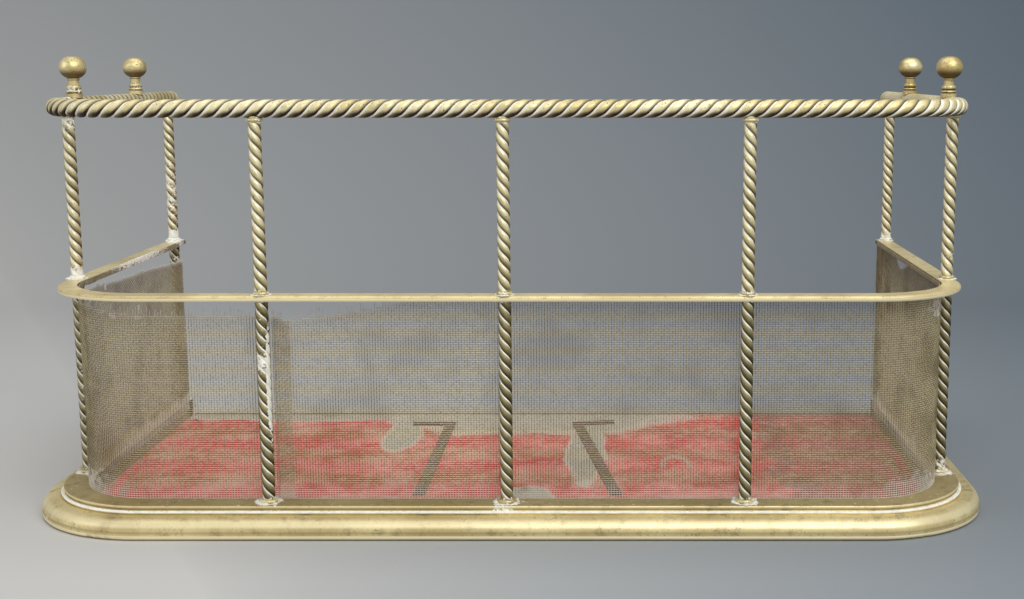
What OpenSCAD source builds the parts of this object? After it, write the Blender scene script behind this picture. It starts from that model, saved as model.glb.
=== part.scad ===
// Free-standing brass fire fender with a wire-cloth guard.
// A U in plan: straight front, rounded front corners, two side returns, open at the back.
// +Z is up, the front faces -Y, and the origin is on the ground under the middle of the box.
// Sections are drawn as [offset outward from the column line, height above the ground].

/* [Overall] */
// Width over the base moulding
fender_w = 1220; // [1100:10:1400]
// Depth from the base moulding to the ends of the top rail
fender_d = 622; // [560:2:700]
// Plan radius of the front corners on the column line
corner_r = 115; // [90:5:120]
// Height of the deck that the columns stand on
deck_h = 36; // [32:1:44]
// Height of the flat top of the middle rail
mid_h = 295; // [250:5:340]
// Height of the centre of the top rail
rail_h = 518; // [460:2:580]

/* [Columns] */
// Outer diameter of the rope-twist column tube
column_d = 16; // [14:0.5:18]
// Wall of the column tube at its crests
column_wall = 2.5; // [2.3:0.1:3]
// Height of one full turn of the column's twist
column_lead = 41.5; // [40:0.5:60]
// Depth of the grooves in the column's twist
column_groove = 1.2; // [0.8:0.1:1.4]
// Distance between neighbouring front columns
column_pitch = 294; // [260:2:320]
// Side front column, measured back from the front column line
side_column_y = 134; // [128:1:160]
// Rear column, measured in from the rear ends of the top rail
rear_column_in = 29; // [26:1:50]
// Outer diameter of the turned ring at the foot of a column
foot_ring_d = 24.6; // [22:0.2:25]
// Height of the foot ring
foot_ring_h = 4.5; // [3:0.5:6]
// Outer diameter of the rings at the middle and top rails
ring_d = 20; // [18.5:0.5:22]
// Height of the rings at the middle and top rails
ring_h = 4.5; // [3:0.5:6]
// Diameter of the iron tie rod in each column
rod_d = 6; // [5:0.5:8]
// Width across the flats of the tie rod nuts
nut_flats = 10; // [9:0.5:12]
// Thickness of the tie rod nuts
nut_t = 4; // [3:0.5:5]
// Length of tie rod that shows past its nuts
rod_past = 3; // [1:0.5:4]

/* [Top rail] */
// Outer diameter of the rope-twist rail tube
rail_d = 22; // [20:0.5:26]
// Wall of the rail tube at its crests
rail_wall = 3.5; // [3:0.1:4]
// Length of one full turn of the rail's twist
rail_lead = 51; // [49:0.5:70]
// Depth of the grooves in the rail's twist
rail_groove = 1.6; // [1:0.1:1.8]
// Joint of the rail, measured back from the side front column
rail_joint_back = 56; // [50:1:70]
// Length of the spigot inside each rail joint
spigot_len = 36; // [24:2:44]
// Wall of that spigot
spigot_wall = 3; // [1.5:0.5:4]
// Length of the plain part of an end plug inside the rail
plug_len = 12; // [8:1:14]

/* [Middle rail] */
// Reach of the middle rail in front of the column line
mid_out = 11; // [10:0.5:13]
// Height of the rounded front edge of the middle rail
mid_edge_h = 7.5; // [6:0.5:9]
// Wall of the brass capping
mid_wall = 1.5; // [1:0.1:2]
// Rear overhang of the middle rail and base past the rear column
rear_over = 18; // [14:1:22]
// Joint of the middle rail, measured back from the side front column
bar_joint_back = 24; // [20:1:30]
// Thickness of the iron bars
bar_t = 5; // [4:0.5:6]
// Thickness of the webs and joint plates
web_t = 3; // [2:0.5:4]
// Reach of a joint plate to each side of its joint
joint_reach = 13; // [10:1:14]

/* [Base moulding] */
// Reach of the base moulding in front of the column line
base_out = 45; // [43:1:50]
// Reach of the deck in front of the column line
deck_out = 18; // [16:0.5:20]
// Wall of the pressed brass moulding
base_wall = 1.8; // [1.2:0.1:2.2]
// Radius of the deck nosing
nosing_r = 1.8; // [1.4:0.1:2]
// Radius of the cove under the nosing
cove_r = 2.2; // [1.6:0.1:2.4]
// Radius of the small bead under the cove
bead_r = 1.6; // [1.2:0.1:1.8]
// Radius of the large torus
torus_r = 17.3; // [15:0.1:18]
// Height of the centre of the large torus
torus_z = 9; // [8:0.5:10]
// Radius of the bead at the foot of the moulding
foot_bead_r = 3.4; // [2.8:0.1:3.6]
// Height of the plain foot below the bead
foot_h = 0.8; // [0.4:0.1:1.2]

/* [Floor] */
// Height of the top of the sheet iron floor
floor_h = 10; // [9:0.5:14]
// Thickness of the sheet iron floor
floor_t = 2; // [1.2:0.2:3]
// Width of the frame flange that carries the floor
flange_w = 32; // [26:1:40]
// Thickness of that flange
flange_t = 3; // [2:0.5:4]
// Diameter of the rivets in the floor
rivet_d = 4; // [3:0.5:5]
// Width of the two iron straps on the floor
strap_w = 15; // [10:1:20]
// Thickness of the straps
strap_t = 3; // [2:0.5:4]
// Length of the long leg of a strap
strap_leg = 390; // [330:10:400]
// Length of the short leg of a strap
strap_foot = 58; // [40:2:80]
// Distance of the left strap from the middle of the floor
strap_x = 124; // [80:2:180]
// Distance of the right strap's rear end from the middle of the floor
strap_right_x = 75; // [60:1:120]
// Angle that the right strap is splayed by
strap_splay = 8.9; // [0:0.1:15]
// Distance of the straps from the rear edge of the floor
strap_back = 70; // [40:5:90]

/* [Finials] */
// Diameter of a finial's ball
ball_d = 34; // [30:0.5:36]
// Height of a finial's ball
ball_h = 28.5; // [25:0.5:30]
// Height of the ball's centre above the centre of the top rail
ball_rise = 48; // [46:0.5:52]
// Front finial, measured back from the side front column
finial_front_y = 27; // [25:1:36]
// Rear finial, measured back from the side front column
finial_rear_y = 269; // [240:1:320]
// Diameter of the stud that screws into the rail
stud_d = 5; // [4:0.5:6]

/* [Wire guard] */
// Distance of the guard behind the column line
guard_in = 13; // [12.5:0.5:15]
// Thickness of the woven wire cloth
guard_t = 1.2; // [0.8:0.1:1.6]
// Spacing of the bars that stand for the weave
guard_pitch = 36; // [35:1:44]
// Width of the bars that stand for the weave
guard_bar = 2; // [1.5:0.5:3]
// Distance of the guard's rear ends in front of the rear columns
guard_back = 10; // [0:1:30]
// Width of the doubled hem at the rear ends
hem_w = 44; // [20:2:60]
// Height of the strip that clamps the foot of the cloth
strip_h = 16; // [12:1:18]
// Thickness of the strips that clamp the cloth
strip_t = 1.6; // [1:0.1:2]

/* [Fits] */
// Clearance between pieces that seat on each other
fit = 0.1; // [0.05:0.05:0.2]
// Clearance on the diameter of a rod or stud in its hole
rod_clear = 0.4; // [0.2:0.1:0.8]

/* [Hidden] */
$fn = 64;
eps = 0.01;
past = 1;
column_x = fender_w / 2 - base_out;
front_y = -fender_d / 2 + base_out;
corner_y = front_y + corner_r;
rail_end_y = fender_d / 2;
side_front_y = front_y + side_column_y;
rear_y = rail_end_y - rear_column_in;
bar_end_y = rear_y + rear_over;
bar_joint_y = side_front_y + bar_joint_back;
rail_joint_y = side_front_y + rail_joint_back;
straight_x = column_x - corner_r;
mid_under = mid_h - mid_edge_h;
mid_bar_top = mid_h - mid_wall - fit;
mid_bar_under = mid_bar_top - bar_t;
deck_under = deck_h - base_wall - fit;
base_bar_under = deck_under - bar_t;
base_torus_x = base_out - torus_r;
base_bead_z = deck_h - 2 * nosing_r - 2 * cove_r;
floor_low = floor_h - floor_t;
guard_low = floor_low;
guard_high = mid_bar_top;
net_low = guard_low + strip_h;
net_high = mid_bar_under;
guard_end_y = rear_y - guard_back;
strip_in = guard_in + guard_t + 2 * fit;
floor_in = strip_in + strip_t + fit;
column_bore = column_d - 2 * column_wall;
rail_bore = rail_d - 2 * rail_wall;
hole_d = rod_d + rod_clear;
mid_ring_top = mid_h + ring_h;
top_ring_low = rail_h - rail_d / 2 - ring_h;
rod_low = base_bar_under - nut_t - rod_past;
rail_nut_low = rail_h - sqrt(pow(rail_bore / 2, 2) - pow(nut_flats / sqrt(3), 2)) + fit;
rod_high = rail_nut_low + nut_t + rod_past;

// Rope twist: each strand has two crest points and one groove point, [angle, share of the groove]
strands = 3;
strand_angle = 360 / strands;
slices_per_turn = 6.7;
TWIST = [
    for (strand = [0:strands - 1])
        for (p = [[-0.18, 0], [0.18, 0], [0.5, 1]]) [strand_angle * (strand + p[0]), p[1]]
];

// Path of the top rail's front piece: side, corner, front, corner, side
rail_side_len = rail_joint_y - corner_y;
rail_corner_len = corner_r * PI / 2;
rail_front_len = 2 * straight_x;
rail_path_len = 2 * rail_side_len + 2 * rail_corner_len + rail_front_len;

// Column places: three along the front, then the left and the right pair
COLUMNS = [
    [-column_pitch, front_y], [0, front_y], [column_pitch, front_y],
    [-column_x, side_front_y], [-column_x, rear_y],
    [column_x, side_front_y], [column_x, rear_y]
];
SIDES = [-1, 1];
FINIALS_Y = [side_front_y + finial_front_y, side_front_y + finial_rear_y];
// The two wire cloths meet beside the left front column
cloth_joint_x = -column_pitch + column_d / 2;

// Rivets of the floor: a row along the front and one down each side
rivet_in = guard_in + flange_w * 0.6;
rivet_front_gap = straight_x * 0.31;
rivet_side_gap = (bar_end_y - bar_joint_y) / 4;
strap_rivet_in = strap_leg * 0.12;
RIVETS = concat(
    [for (i = [-3:3]) [i * rivet_front_gap, front_y + rivet_in]],
    [for (side = SIDES) for (i = [0:3])
        [side * (column_x - rivet_in), bar_joint_y + (i + 0.5) * rivet_side_gap]]
);

// ---- Paths: a section is swept along the front, its corners and the sides ----

// Straight front run of a section, between the two corners
module along_front(x0 = -straight_x, x1 = straight_x)
    translate([x0, front_y, 0])
        rotate([90, 0, 90])
            linear_extrude(x1 - x0) mirror([1, 0]) children();

// Quarter turn of a section round one front corner
module round_corner(side)
    translate([side * straight_x, corner_y, 0])
        rotate([0, 0, side < 0 ? 180 : 270])
            rotate_extrude(angle = 90, $fn = 96) translate([corner_r, 0]) children();

// Straight side run of a section between two depths
module along_side(side, y0, y1)
    translate([side * column_x, y1, 0])
        rotate([90, 0, 0])
            linear_extrude(y1 - y0) mirror([side < 0 ? 1 : 0, 0]) children();

module corners()
    for (side = SIDES) round_corner(side) children();

// The front run with both corners, carried back to a joint on each side
module front_piece(joint_y) {
    along_front() children();
    for (side = SIDES) {
        round_corner(side) children();
        along_side(side, corner_y, joint_y) children();
    }
}

// A box given by two opposite corners of a section
module block(a, b)
    translate(a) square([b[0] - a[0], b[1] - a[1]]);

// Places its children at every column
module at_columns()
    for (c = COLUMNS) translate([c[0], c[1], 0]) children();

// Upright holes for the tie rods through a rail or bar between two heights
module rod_holes(z0, z1)
    at_columns() translate([0, 0, z0]) cylinder(d = hole_d, h = z1 - z0);

// ---- Base ----

// Outside of the base moulding: deck with nosing, cove, bead, torus and foot bead
module base_outline() {
    cove_x = deck_out + cove_r * 0.4;
    cove_z = base_bead_z + bead_r + cove_r * 0.64;
    block([-guard_in, deck_h - 2 * nosing_r], [deck_out - nosing_r, deck_h]);
    translate([deck_out - nosing_r, deck_h - nosing_r]) circle(nosing_r);
    difference() {
        block([-guard_in, base_bead_z], [deck_out - nosing_r / 3, deck_h - nosing_r]);
        translate([cove_x, cove_z]) circle(cove_r);
    }
    translate([deck_out + bead_r, base_bead_z]) circle(bead_r);
    block([-guard_in, torus_z], [deck_out + bead_r, base_bead_z + bead_r]);
    intersection() {
        translate([base_torus_x, torus_z]) circle(torus_r, $fn = 96);
        block([-guard_in, torus_z - foot_bead_r], [base_out + past, deck_h]);
    }
    block([-guard_in, foot_h], [base_out - foot_bead_r, torus_z]);
    translate([base_out - foot_bead_r, foot_h + foot_bead_r]) circle(foot_bead_r);
    block([-guard_in, 0], [base_out - foot_bead_r, foot_h + eps]);
}

// Hollow of the base moulding, open underneath and towards the iron frame
module base_hollow() {
    block([-guard_in - past, -past], [deck_out - base_wall - cove_r / 2, deck_h - base_wall]);
    intersection() {
        translate([base_torus_x, torus_z]) circle(torus_r - base_wall, $fn = 96);
        block([-guard_in, torus_z - past], [base_out, deck_h]);
    }
    block([-guard_in - past, -past], [base_out - foot_bead_r - base_wall, torus_z]);
}

module base_section() {
    difference() {
        base_outline();
        base_hollow();
    }
}

module base_moulding_front()
    color("#a8925a")
        difference() {
            along_front(-straight_x + fit, straight_x - fit) base_section();
            rod_holes(base_bar_under, deck_h + past);
        }

module base_moulding_corners()
    color("#a8925a") corners() base_section();

// Side run of the moulding with its rear end closed
module base_moulding_side(side)
    color("#a8925a")
        difference() {
            union() {
                along_side(side, corner_y + fit, bar_end_y) base_section();
                along_side(side, bar_end_y - base_wall, bar_end_y) base_outline();
            }
            rod_holes(base_bar_under, deck_h + past);
        }

// Iron frame: bar under the deck, upright web, and a flange that carries the floor
module frame_section() {
    block([-guard_in, 0], [-guard_in + web_t, deck_under]);
    block([-guard_in, base_bar_under], [deck_out - 2 * base_wall - cove_r, deck_under]);
    block([-guard_in - flange_w, floor_low - flange_t], [-guard_in + eps, floor_low]);
}

module base_frame_front()
    color("#3b3431")
        difference() {
            along_front(-straight_x + fit, straight_x - fit) frame_section();
            rod_holes(base_bar_under - past, deck_h);
            rivet_holes();
        }

module base_frame_corners()
    color("#3b3431") corners() frame_section();

module base_frame_side(side)
    color("#3b3431")
        difference() {
            along_side(side, corner_y + fit, bar_end_y - base_wall - fit) frame_section();
            rod_holes(base_bar_under - past, deck_h);
            rivet_holes();
        }

// ---- Floor ----

module rivet_holes()
    for (r = RIVETS)
        translate([r[0], r[1], floor_low - flange_t - past])
            cylinder(d = rivet_d, h = floor_t + flange_t + 2 * past);

// Plan of the sheet floor inside the guard
module floor_plan() {
    x = column_x - floor_in;
    y = front_y + floor_in;
    r = corner_r - floor_in;
    translate([-x, corner_y]) square([2 * x, bar_end_y - corner_y]);
    translate([-straight_x, y]) square([2 * straight_x, corner_r]);
    for (side = SIDES) translate([side * straight_x, corner_y]) circle(r, $fn = 96);
}

module floor_plate()
    color("#7d4f45")
        difference() {
            translate([0, 0, floor_low]) linear_extrude(floor_t) floor_plan();
            rivet_holes();
            for (side = SIDES) strap_place(side) strap_rivet_row(hole = true);
        }

// A rivet with a low round head above and a flat head below
module rivet(low, high, d) {
    head_h = d * 0.35;
    head_r = d * 0.85;
    dome_r = d * 1.05;
    translate([0, 0, low - head_h]) cylinder(r = head_r, h = head_h);
    translate([0, 0, low - eps]) cylinder(d = d, h = high - low + 2 * eps);
    translate([0, 0, high])
        rotate_extrude()
            intersection() {
                translate([0, head_h - dome_r]) circle(dome_r);
                block([0, 0], [d, head_h]);
            }
}

module floor_rivets()
    color("#4b3b36")
        for (r = RIVETS) translate([r[0], r[1], 0]) rivet(floor_low - flange_t, floor_h, rivet_d);

// The left strap runs straight back, the right one is splayed
module strap_place(side)
    translate([side < 0 ? -strap_x : strap_right_x, bar_end_y - strap_back, 0])
        rotate([0, 0, side < 0 ? 0 : strap_splay]) children();

module strap_rivet_row(hole = false)
    for (y = [-strap_rivet_in, strap_rivet_in - strap_leg])
        translate([0, y, 0])
            if (hole)
                translate([0, 0, floor_low - past]) cylinder(d = rivet_d, h = floor_t + strap_t + 3 * past);
            else rivet(floor_low, floor_h + strap_t, rivet_d);

module strap(side)
    color("#4a4039")
        strap_place(side)
            difference() {
                translate([0, 0, floor_h])
                    linear_extrude(strap_t)
                        union() {
                            translate([-strap_w / 2, -strap_leg]) square([strap_w, strap_leg]);
                            translate([side < 0 ? -strap_foot : 0, -strap_w]) square([strap_foot, strap_w]);
                        }
                strap_rivet_row(hole = true);
            }

module strap_rivets()
    color("#4a4039")
        for (side = SIDES) strap_place(side) strap_rivet_row();

// ---- Middle rail ----

// Brass capping: flat top and a half-round front edge rolled under
module mid_rail_section() {
    r = mid_edge_h / 2;
    difference() {
        union() {
            block([-guard_in, mid_h - mid_edge_h], [mid_out - r, mid_h]);
            translate([mid_out - r, mid_h - r]) circle(r);
        }
        block([-guard_in - past, mid_h - mid_edge_h - past], [mid_out - r, mid_h - mid_wall]);
        translate([mid_out - r, mid_h - r]) circle(r - mid_wall);
    }
}

module mid_rail_front()
    color("#a8925a")
        difference() {
            front_piece(bar_joint_y) mid_rail_section();
            rod_holes(mid_under, mid_h + past);
        }

module mid_rail_side(side)
    color("#a8925a")
        difference() {
            along_side(side, bar_joint_y + fit, bar_end_y) mid_rail_section();
            rod_holes(mid_under, mid_h + past);
        }

// Iron bar in the capping, with the wire cloth clamped to its back
module mid_bar_section()
    block([-guard_in, mid_bar_under], [mid_out - mid_edge_h / 2 - fit, mid_bar_top]);

module mid_bar_front()
    color("#3b3431")
        difference() {
            front_piece(bar_joint_y) mid_bar_section();
            rod_holes(mid_bar_under - past, mid_h);
        }

module mid_bar_side(side)
    color("#3b3431")
        difference() {
            along_side(side, bar_joint_y + fit, bar_end_y) mid_bar_section();
            rod_holes(mid_bar_under - past, mid_h);
        }

// Plates under the bars that bridge their joints: four at the base and two at the middle rail
module joint_plates()
    color("#3b3431")
        for (side = SIDES) {
            along_front(side * straight_x - joint_reach, side * straight_x + joint_reach)
                plate_section(base_bar_under - fit);
            along_side(side, corner_y - joint_reach, corner_y + joint_reach / 2)
                plate_section(base_bar_under - fit);
            along_side(side, bar_joint_y - joint_reach, bar_joint_y + joint_reach)
                plate_section(mid_bar_under - fit);
        }

module plate_section(top) {
    reach_in = guard_in - web_t - 2 * fit;
    reach_out = mid_out - mid_edge_h / 2 - 2 * fit;
    block([-reach_in, top - web_t], [reach_out, top]);
}

// ---- Top rail ----

// Straight solid bar with strands that twist left-handed as they rise
module rope_bar(d, len, lead, groove, turn = 0)
    linear_extrude(len, twist = 360 * len / lead, slices = round(slices_per_turn * len / lead), segments = len(TWIST))
        polygon([for (p = TWIST) (d / 2 - p[1] * groove) * [cos(p[0] + turn), sin(p[0] + turn)]]);

module rail_holes() {
    rod_holes(rail_h - rail_d, rail_h);
    for (side = SIDES, y = FINIALS_Y)
        translate([side * column_x, y, rail_h]) cylinder(d = stud_d + rod_clear, h = rail_d);
}

// Place and heading of the outward side at a distance along the rail's front piece
function rail_frame(s) =
    s < rail_side_len ? [-column_x, rail_joint_y - s, 180]
    : s < rail_side_len + rail_corner_len ? rail_turn(-1, (s - rail_side_len) / corner_r * 180 / PI)
    : s < rail_side_len + rail_corner_len + rail_front_len
        ? [-straight_x + s - rail_side_len - rail_corner_len, front_y, 270]
    : s < rail_path_len - rail_side_len
        ? rail_turn(1, (s - rail_path_len + rail_side_len + rail_corner_len) / corner_r * 180 / PI)
    : [column_x, rail_joint_y + s - rail_path_len, 360];

function rail_turn(side, angle) =
    let(heading = (side < 0 ? 180 : 270) + angle)
    [side * straight_x + corner_r * cos(heading), corner_y + corner_r * sin(heading), heading];

// Solid twisted bar that follows the rail's path round both corners
module rail_rope() {
    steps = round(slices_per_turn * rail_path_len / rail_lead);
    n = len(TWIST);
    points = [
        for (k = [0:steps])
            let(s = rail_path_len * k / steps, f = rail_frame(s), turn = 360 * s / rail_lead)
            for (p = TWIST)
                let(r = rail_d / 2 - p[1] * rail_groove, out = r * cos(p[0] + turn))
                [f[0] + out * cos(f[2]), f[1] + out * sin(f[2]), rail_h + r * sin(p[0] + turn)]
    ];
    walls = [
        for (k = [0:steps - 1], i = [0:n - 1])
            let(a = k * n + i, b = k * n + (i + 1) % n)
            each [[b, a, a + n], [b, a + n, b + n]]
    ];
    start_cap = [[for (i = [0:n - 1]) i]];
    end_cap = [[for (i = [n - 1:-1:0]) steps * n + i]];
    polyhedron(points, concat(start_cap, walls, end_cap));
}

module top_rail_front()
    color("#a8925a")
        difference() {
            rail_rope();
            front_piece(rail_joint_y + past) translate([0, rail_h]) circle(d = rail_bore);
            rail_holes();
        }

// Straight side run of the rail; its twist carries on from the front piece
module top_rail_side(side) {
    run = rail_end_y - rail_d / 4 - rail_joint_y - fit;
    turn = side < 0 ? 0 : 180 - 360 * rail_path_len / rail_lead;
    color("#a8925a")
        difference() {
            translate([side * column_x, rail_joint_y + fit, rail_h])
                rotate([90, 0, 180])
                    difference() {
                        rope_bar(rail_d, run, rail_lead, rail_groove, turn);
                        translate([0, 0, -past]) cylinder(d = rail_bore, h = run + 2 * past);
                    }
            rail_holes();
        }
}

// Tubes inside the rail joints
module rail_spigots()
    color("#3b3431")
        for (side = SIDES)
            along_side(side, rail_joint_y - spigot_len / 2, rail_joint_y + spigot_len / 2)
                translate([0, rail_h])
                    difference() {
                        circle(d = rail_bore - 2 * fit);
                        circle(d = rail_bore - 2 * (fit + spigot_wall));
                    }

// Domed plugs that close the rear ends of the rail
module rail_end_plugs()
    color("#a8925a")
        for (side = SIDES)
            translate([side * column_x, rail_end_y - rail_d / 4, rail_h])
                rotate([-90, 0, 0])
                    rotate_extrude() {
                        dome = rail_d / 4;
                        sphere_r = (pow(rail_d / 2, 2) + dome * dome) / (2 * dome);
                        intersection() {
                            translate([0, dome - sphere_r]) circle(sphere_r, $fn = 96);
                            block([0, fit], [rail_d / 2, dome]);
                        }
                        block([0, -plug_len], [rail_bore / 2 - fit, 2 * fit]);
                    }

// ---- Columns ----

module column_tube(len)
    difference() {
        rope_bar(column_d, len, column_lead, column_groove);
        translate([0, 0, -past]) cylinder(d = column_bore, h = len + 2 * past);
    }

module lower_column(i)
    color("#8f8352")
        translate([COLUMNS[i][0], COLUMNS[i][1], deck_h + foot_ring_h])
            column_tube(mid_bar_under - deck_h - foot_ring_h - fit);

module upper_column(i)
    color("#8f8352")
        translate([COLUMNS[i][0], COLUMNS[i][1], mid_ring_top])
            column_tube(top_ring_low - mid_ring_top);

// Turned ring with a rounded rim and a bore for the tie rod
module turned_ring(d, h)
    rotate_extrude()
        difference() {
            union() {
                block([0, 0], [d / 2 - h / 2, h]);
                translate([d / 2 - h / 2, h / 2]) circle(h / 2);
            }
            block([-d, -past], [hole_d / 2, h + past]);
        }

module foot_rings()
    color("#b5a06a")
        at_columns() translate([0, 0, deck_h]) turned_ring(foot_ring_d, foot_ring_h);

module mid_rings()
    color("#b5a06a")
        at_columns() translate([0, 0, mid_h]) turned_ring(ring_d, ring_h);

// Rings under the top rail, hollowed to its underside
module top_rings()
    color("#b5a06a")
        for (c = COLUMNS)
            difference() {
                union() {
                    translate([c[0], c[1], top_ring_low]) turned_ring(ring_d, ring_h);
                    translate([c[0], c[1], top_ring_low + ring_h / 2])
                        difference() {
                            cylinder(d = column_bore + column_wall, h = ring_h);
                            translate([0, 0, -past]) cylinder(d = hole_d, h = 2 * ring_h);
                        }
                }
                if (c[1] == front_y)
                    translate([c[0] - ring_d, c[1], rail_h]) rotate([0, 90, 0]) rail_bar(2 * ring_d);
                else
                    translate([c[0], c[1] + ring_d, rail_h]) rotate([90, 0, 0]) rail_bar(2 * ring_d);
            }

// The rail's outside with its seating clearance
module rail_bar(len)
    cylinder(d = rail_d + 2 * fit, h = len);

module tie_rods()
    color("#3b3431")
        at_columns() translate([0, 0, rod_low]) cylinder(d = rod_d, h = rod_high - rod_low);

module nut()
    difference() {
        cylinder(d = nut_flats / cos(30), h = nut_t, $fn = 6);
        translate([0, 0, -past]) cylinder(d = rod_d, h = nut_t + 2 * past);
    }

module foot_nuts()
    color("#3b3431")
        at_columns() translate([0, 0, base_bar_under - nut_t - fit]) nut();

module rail_nuts()
    color("#3b3431")
        at_columns() translate([0, 0, rail_nut_low]) nut();

// ---- Finials ----

// Turned finial on a stud: flange on the rail, ring, bell, neck, collar and flattened ball
module finial(side, y)
    color("#b59a5c")
        translate([side * column_x, y, rail_h])
            difference() {
                union() {
                    rotate_extrude() finial_outline();
                    cylinder(d = stud_d, h = ball_rise);
                }
                difference() {
                    translate([0, ball_d, 0]) rotate([90, 0, 0]) rail_bar(2 * ball_d);
                    cylinder(d = stud_d, h = rail_d);
                }
                translate([0, 0, -past]) cylinder(d = rail_d, h = rail_bore / 2 - past);
            }

// Turned profile of the finial, from below the rail's crown up to the top of the ball
module finial_outline() {
    crown = rail_d / 2;
    flange_low = crown - 2;
    flange_r = ball_d * 0.3;
    flange_top = crown + 4.2;
    ring_r = 1.9;
    ring_z = flange_top + ring_r;
    bell_r = 3.9;
    bell_z = ring_z + 5.2;
    neck_r = ball_d * 0.19;
    collar_r = 1.4;
    collar_z = ball_rise - ball_h / 2 - collar_r / 2;
    block([0, flange_low], [flange_r, flange_top]);
    bead(ring_r, ring_z, flange_r - 0.6);
    bead(bell_r, bell_z, flange_r - 0.9);
    block([0, flange_top], [neck_r, ball_rise]);
    bead(collar_r, collar_z, neck_r + 1.2);
    bead(ball_h / 2, ball_rise, ball_d / 2);
}

// Half of a turned bead: a round rim of radius r at height z, out to its reach
module bead(r, z, reach)
    intersection() {
        block([0, z - r], [reach, z + r]);
        union() {
            translate([reach - r, z]) circle(r);
            block([0, z - r], [reach - r, z + r]);
        }
    }

// ---- Wire guard ----

// Flat run of the guard along X, as a frame with its gaps
module net(len, low, high) {
    nx = max(1, round(len / guard_pitch));
    nz = max(1, round((high - low) / guard_pitch));
    sx = len / nx;
    sz = (high - low) / nz;
    difference() {
        translate([0, low]) square([len, high - low]);
        for (i = [0:nx - 1], k = [0:nz - 1])
            translate([i * sx + guard_bar / 2, low + k * sz + guard_bar / 2])
                square([sx - guard_bar, sz - guard_bar]);
    }
}

// Cloth along the front from x0 to x1: plain where it is clamped, open between
module guard_front(x0, x1)
    color("#9c8f66")
        translate([x0, front_y + guard_in + fit + guard_t, 0])
            rotate([90, 0, 0])
                linear_extrude(guard_t) {
                    net(x1 - x0, net_low, net_high);
                    translate([0, guard_low]) square([x1 - x0, strip_h + eps]);
                    translate([0, net_high - eps]) square([x1 - x0, guard_high - net_high + eps]);
                }

// Cloth down one side, with a doubled hem at its rear end
module guard_side(side) {
    len = guard_end_y - corner_y - fit;
    open_len = len - hem_w;
    x = side < 0 ? -column_x + guard_in + fit : column_x - guard_in - fit - guard_t;
    color("#9c8f66")
        translate([x, corner_y + fit, 0])
            rotate([90, 0, 90])
                linear_extrude(guard_t) {
                    net(open_len, net_low, net_high);
                    translate([0, guard_low]) square([len, strip_h + eps]);
                    translate([0, net_high - eps]) square([len, guard_high - net_high + eps]);
                    translate([open_len - eps, guard_low]) square([hem_w + eps, guard_high - guard_low]);
                }
}

// Cloth round one corner: upright gaps cut through a curved wall
module guard_corner(side) {
    r_out = corner_r - guard_in - fit;
    gaps = max(2, round(r_out * PI / 2 / guard_pitch));
    rows = max(1, round((net_high - net_low) / guard_pitch));
    row_h = (net_high - net_low) / rows;
    step = 90 / gaps;
    gap_w = r_out * step * PI / 180 - guard_bar;
    reach = 3 * guard_t;
    color("#9c8f66")
        difference() {
            round_corner(side) block([r_out - guard_t - corner_r, guard_low], [r_out - corner_r, guard_high]);
            translate([side * straight_x, corner_y, 0])
                for (i = [0:gaps - 1], k = [0:rows - 1])
                    rotate([0, 0, (side < 0 ? 180 : 270) + (i + 0.5) * step])
                        translate([r_out - reach, -gap_w / 2, net_low + k * row_h + guard_bar / 2])
                            cube([2 * reach, gap_w, row_h - guard_bar]);
        }
}

// Strips that clamp the cloth to the frame below and to the bar above: front, corners and sides
module guard_strip(low, high)
    color("#4a4039") {
        along_front(-straight_x + fit, straight_x - fit) strip_section(low, high);
        corners() strip_section(low, high);
        for (side = SIDES) along_side(side, corner_y + fit, guard_end_y) strip_section(low, high);
    }

module strip_section(low, high)
    block([-strip_in - strip_t, low], [-strip_in, high]);

// ---- Nodes ----

base_moulding_front();
base_moulding_corners();
base_moulding_side(-1);  // base_moulding_left
base_moulding_side(1);  // base_moulding_right
base_frame_front();
base_frame_corners();
base_frame_side(-1);  // base_frame_left
base_frame_side(1);  // base_frame_right
floor_plate();
floor_rivets();
strap(-1);  // strap_left
strap(1);  // strap_right
strap_rivets();
mid_rail_front();
mid_rail_side(-1);  // mid_rail_left
mid_rail_side(1);  // mid_rail_right
mid_bar_front();
mid_bar_side(-1);  // mid_bar_left
mid_bar_side(1);  // mid_bar_right
joint_plates();
top_rail_front();
top_rail_side(-1);  // top_rail_left
top_rail_side(1);  // top_rail_right
rail_spigots();
rail_end_plugs();
for (i = [1:7]) {
    lower_column(i - 1);
    upper_column(i - 1);
}
foot_rings();
mid_rings();
top_rings();
tie_rods();
foot_nuts();
rail_nuts();
finial(-1, FINIALS_Y[0]);  // finial_left_front
finial(-1, FINIALS_Y[1]);  // finial_left_rear
finial(1, FINIALS_Y[0]);  // finial_right_front
finial(1, FINIALS_Y[1]);  // finial_right_rear
guard_side(-1);  // guard_left
guard_corner(-1);  // guard_corner_left
guard_front(-straight_x + fit, cloth_joint_x);  // guard_front_left
guard_front(cloth_joint_x + fit, straight_x - fit);  // guard_front_right
guard_corner(1);  // guard_corner_right
guard_side(1);  // guard_right
guard_strip(guard_low, net_low);  // guard_strip_low
guard_strip(net_high, guard_high);  // guard_strip_high
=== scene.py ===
import sys

import logging
import math
import random
from collections.abc import Callable, Sequence
from dataclasses import dataclass, field
from enum import Enum

import bmesh
import bpy
from mathutils import Matrix, Vector, noise


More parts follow.
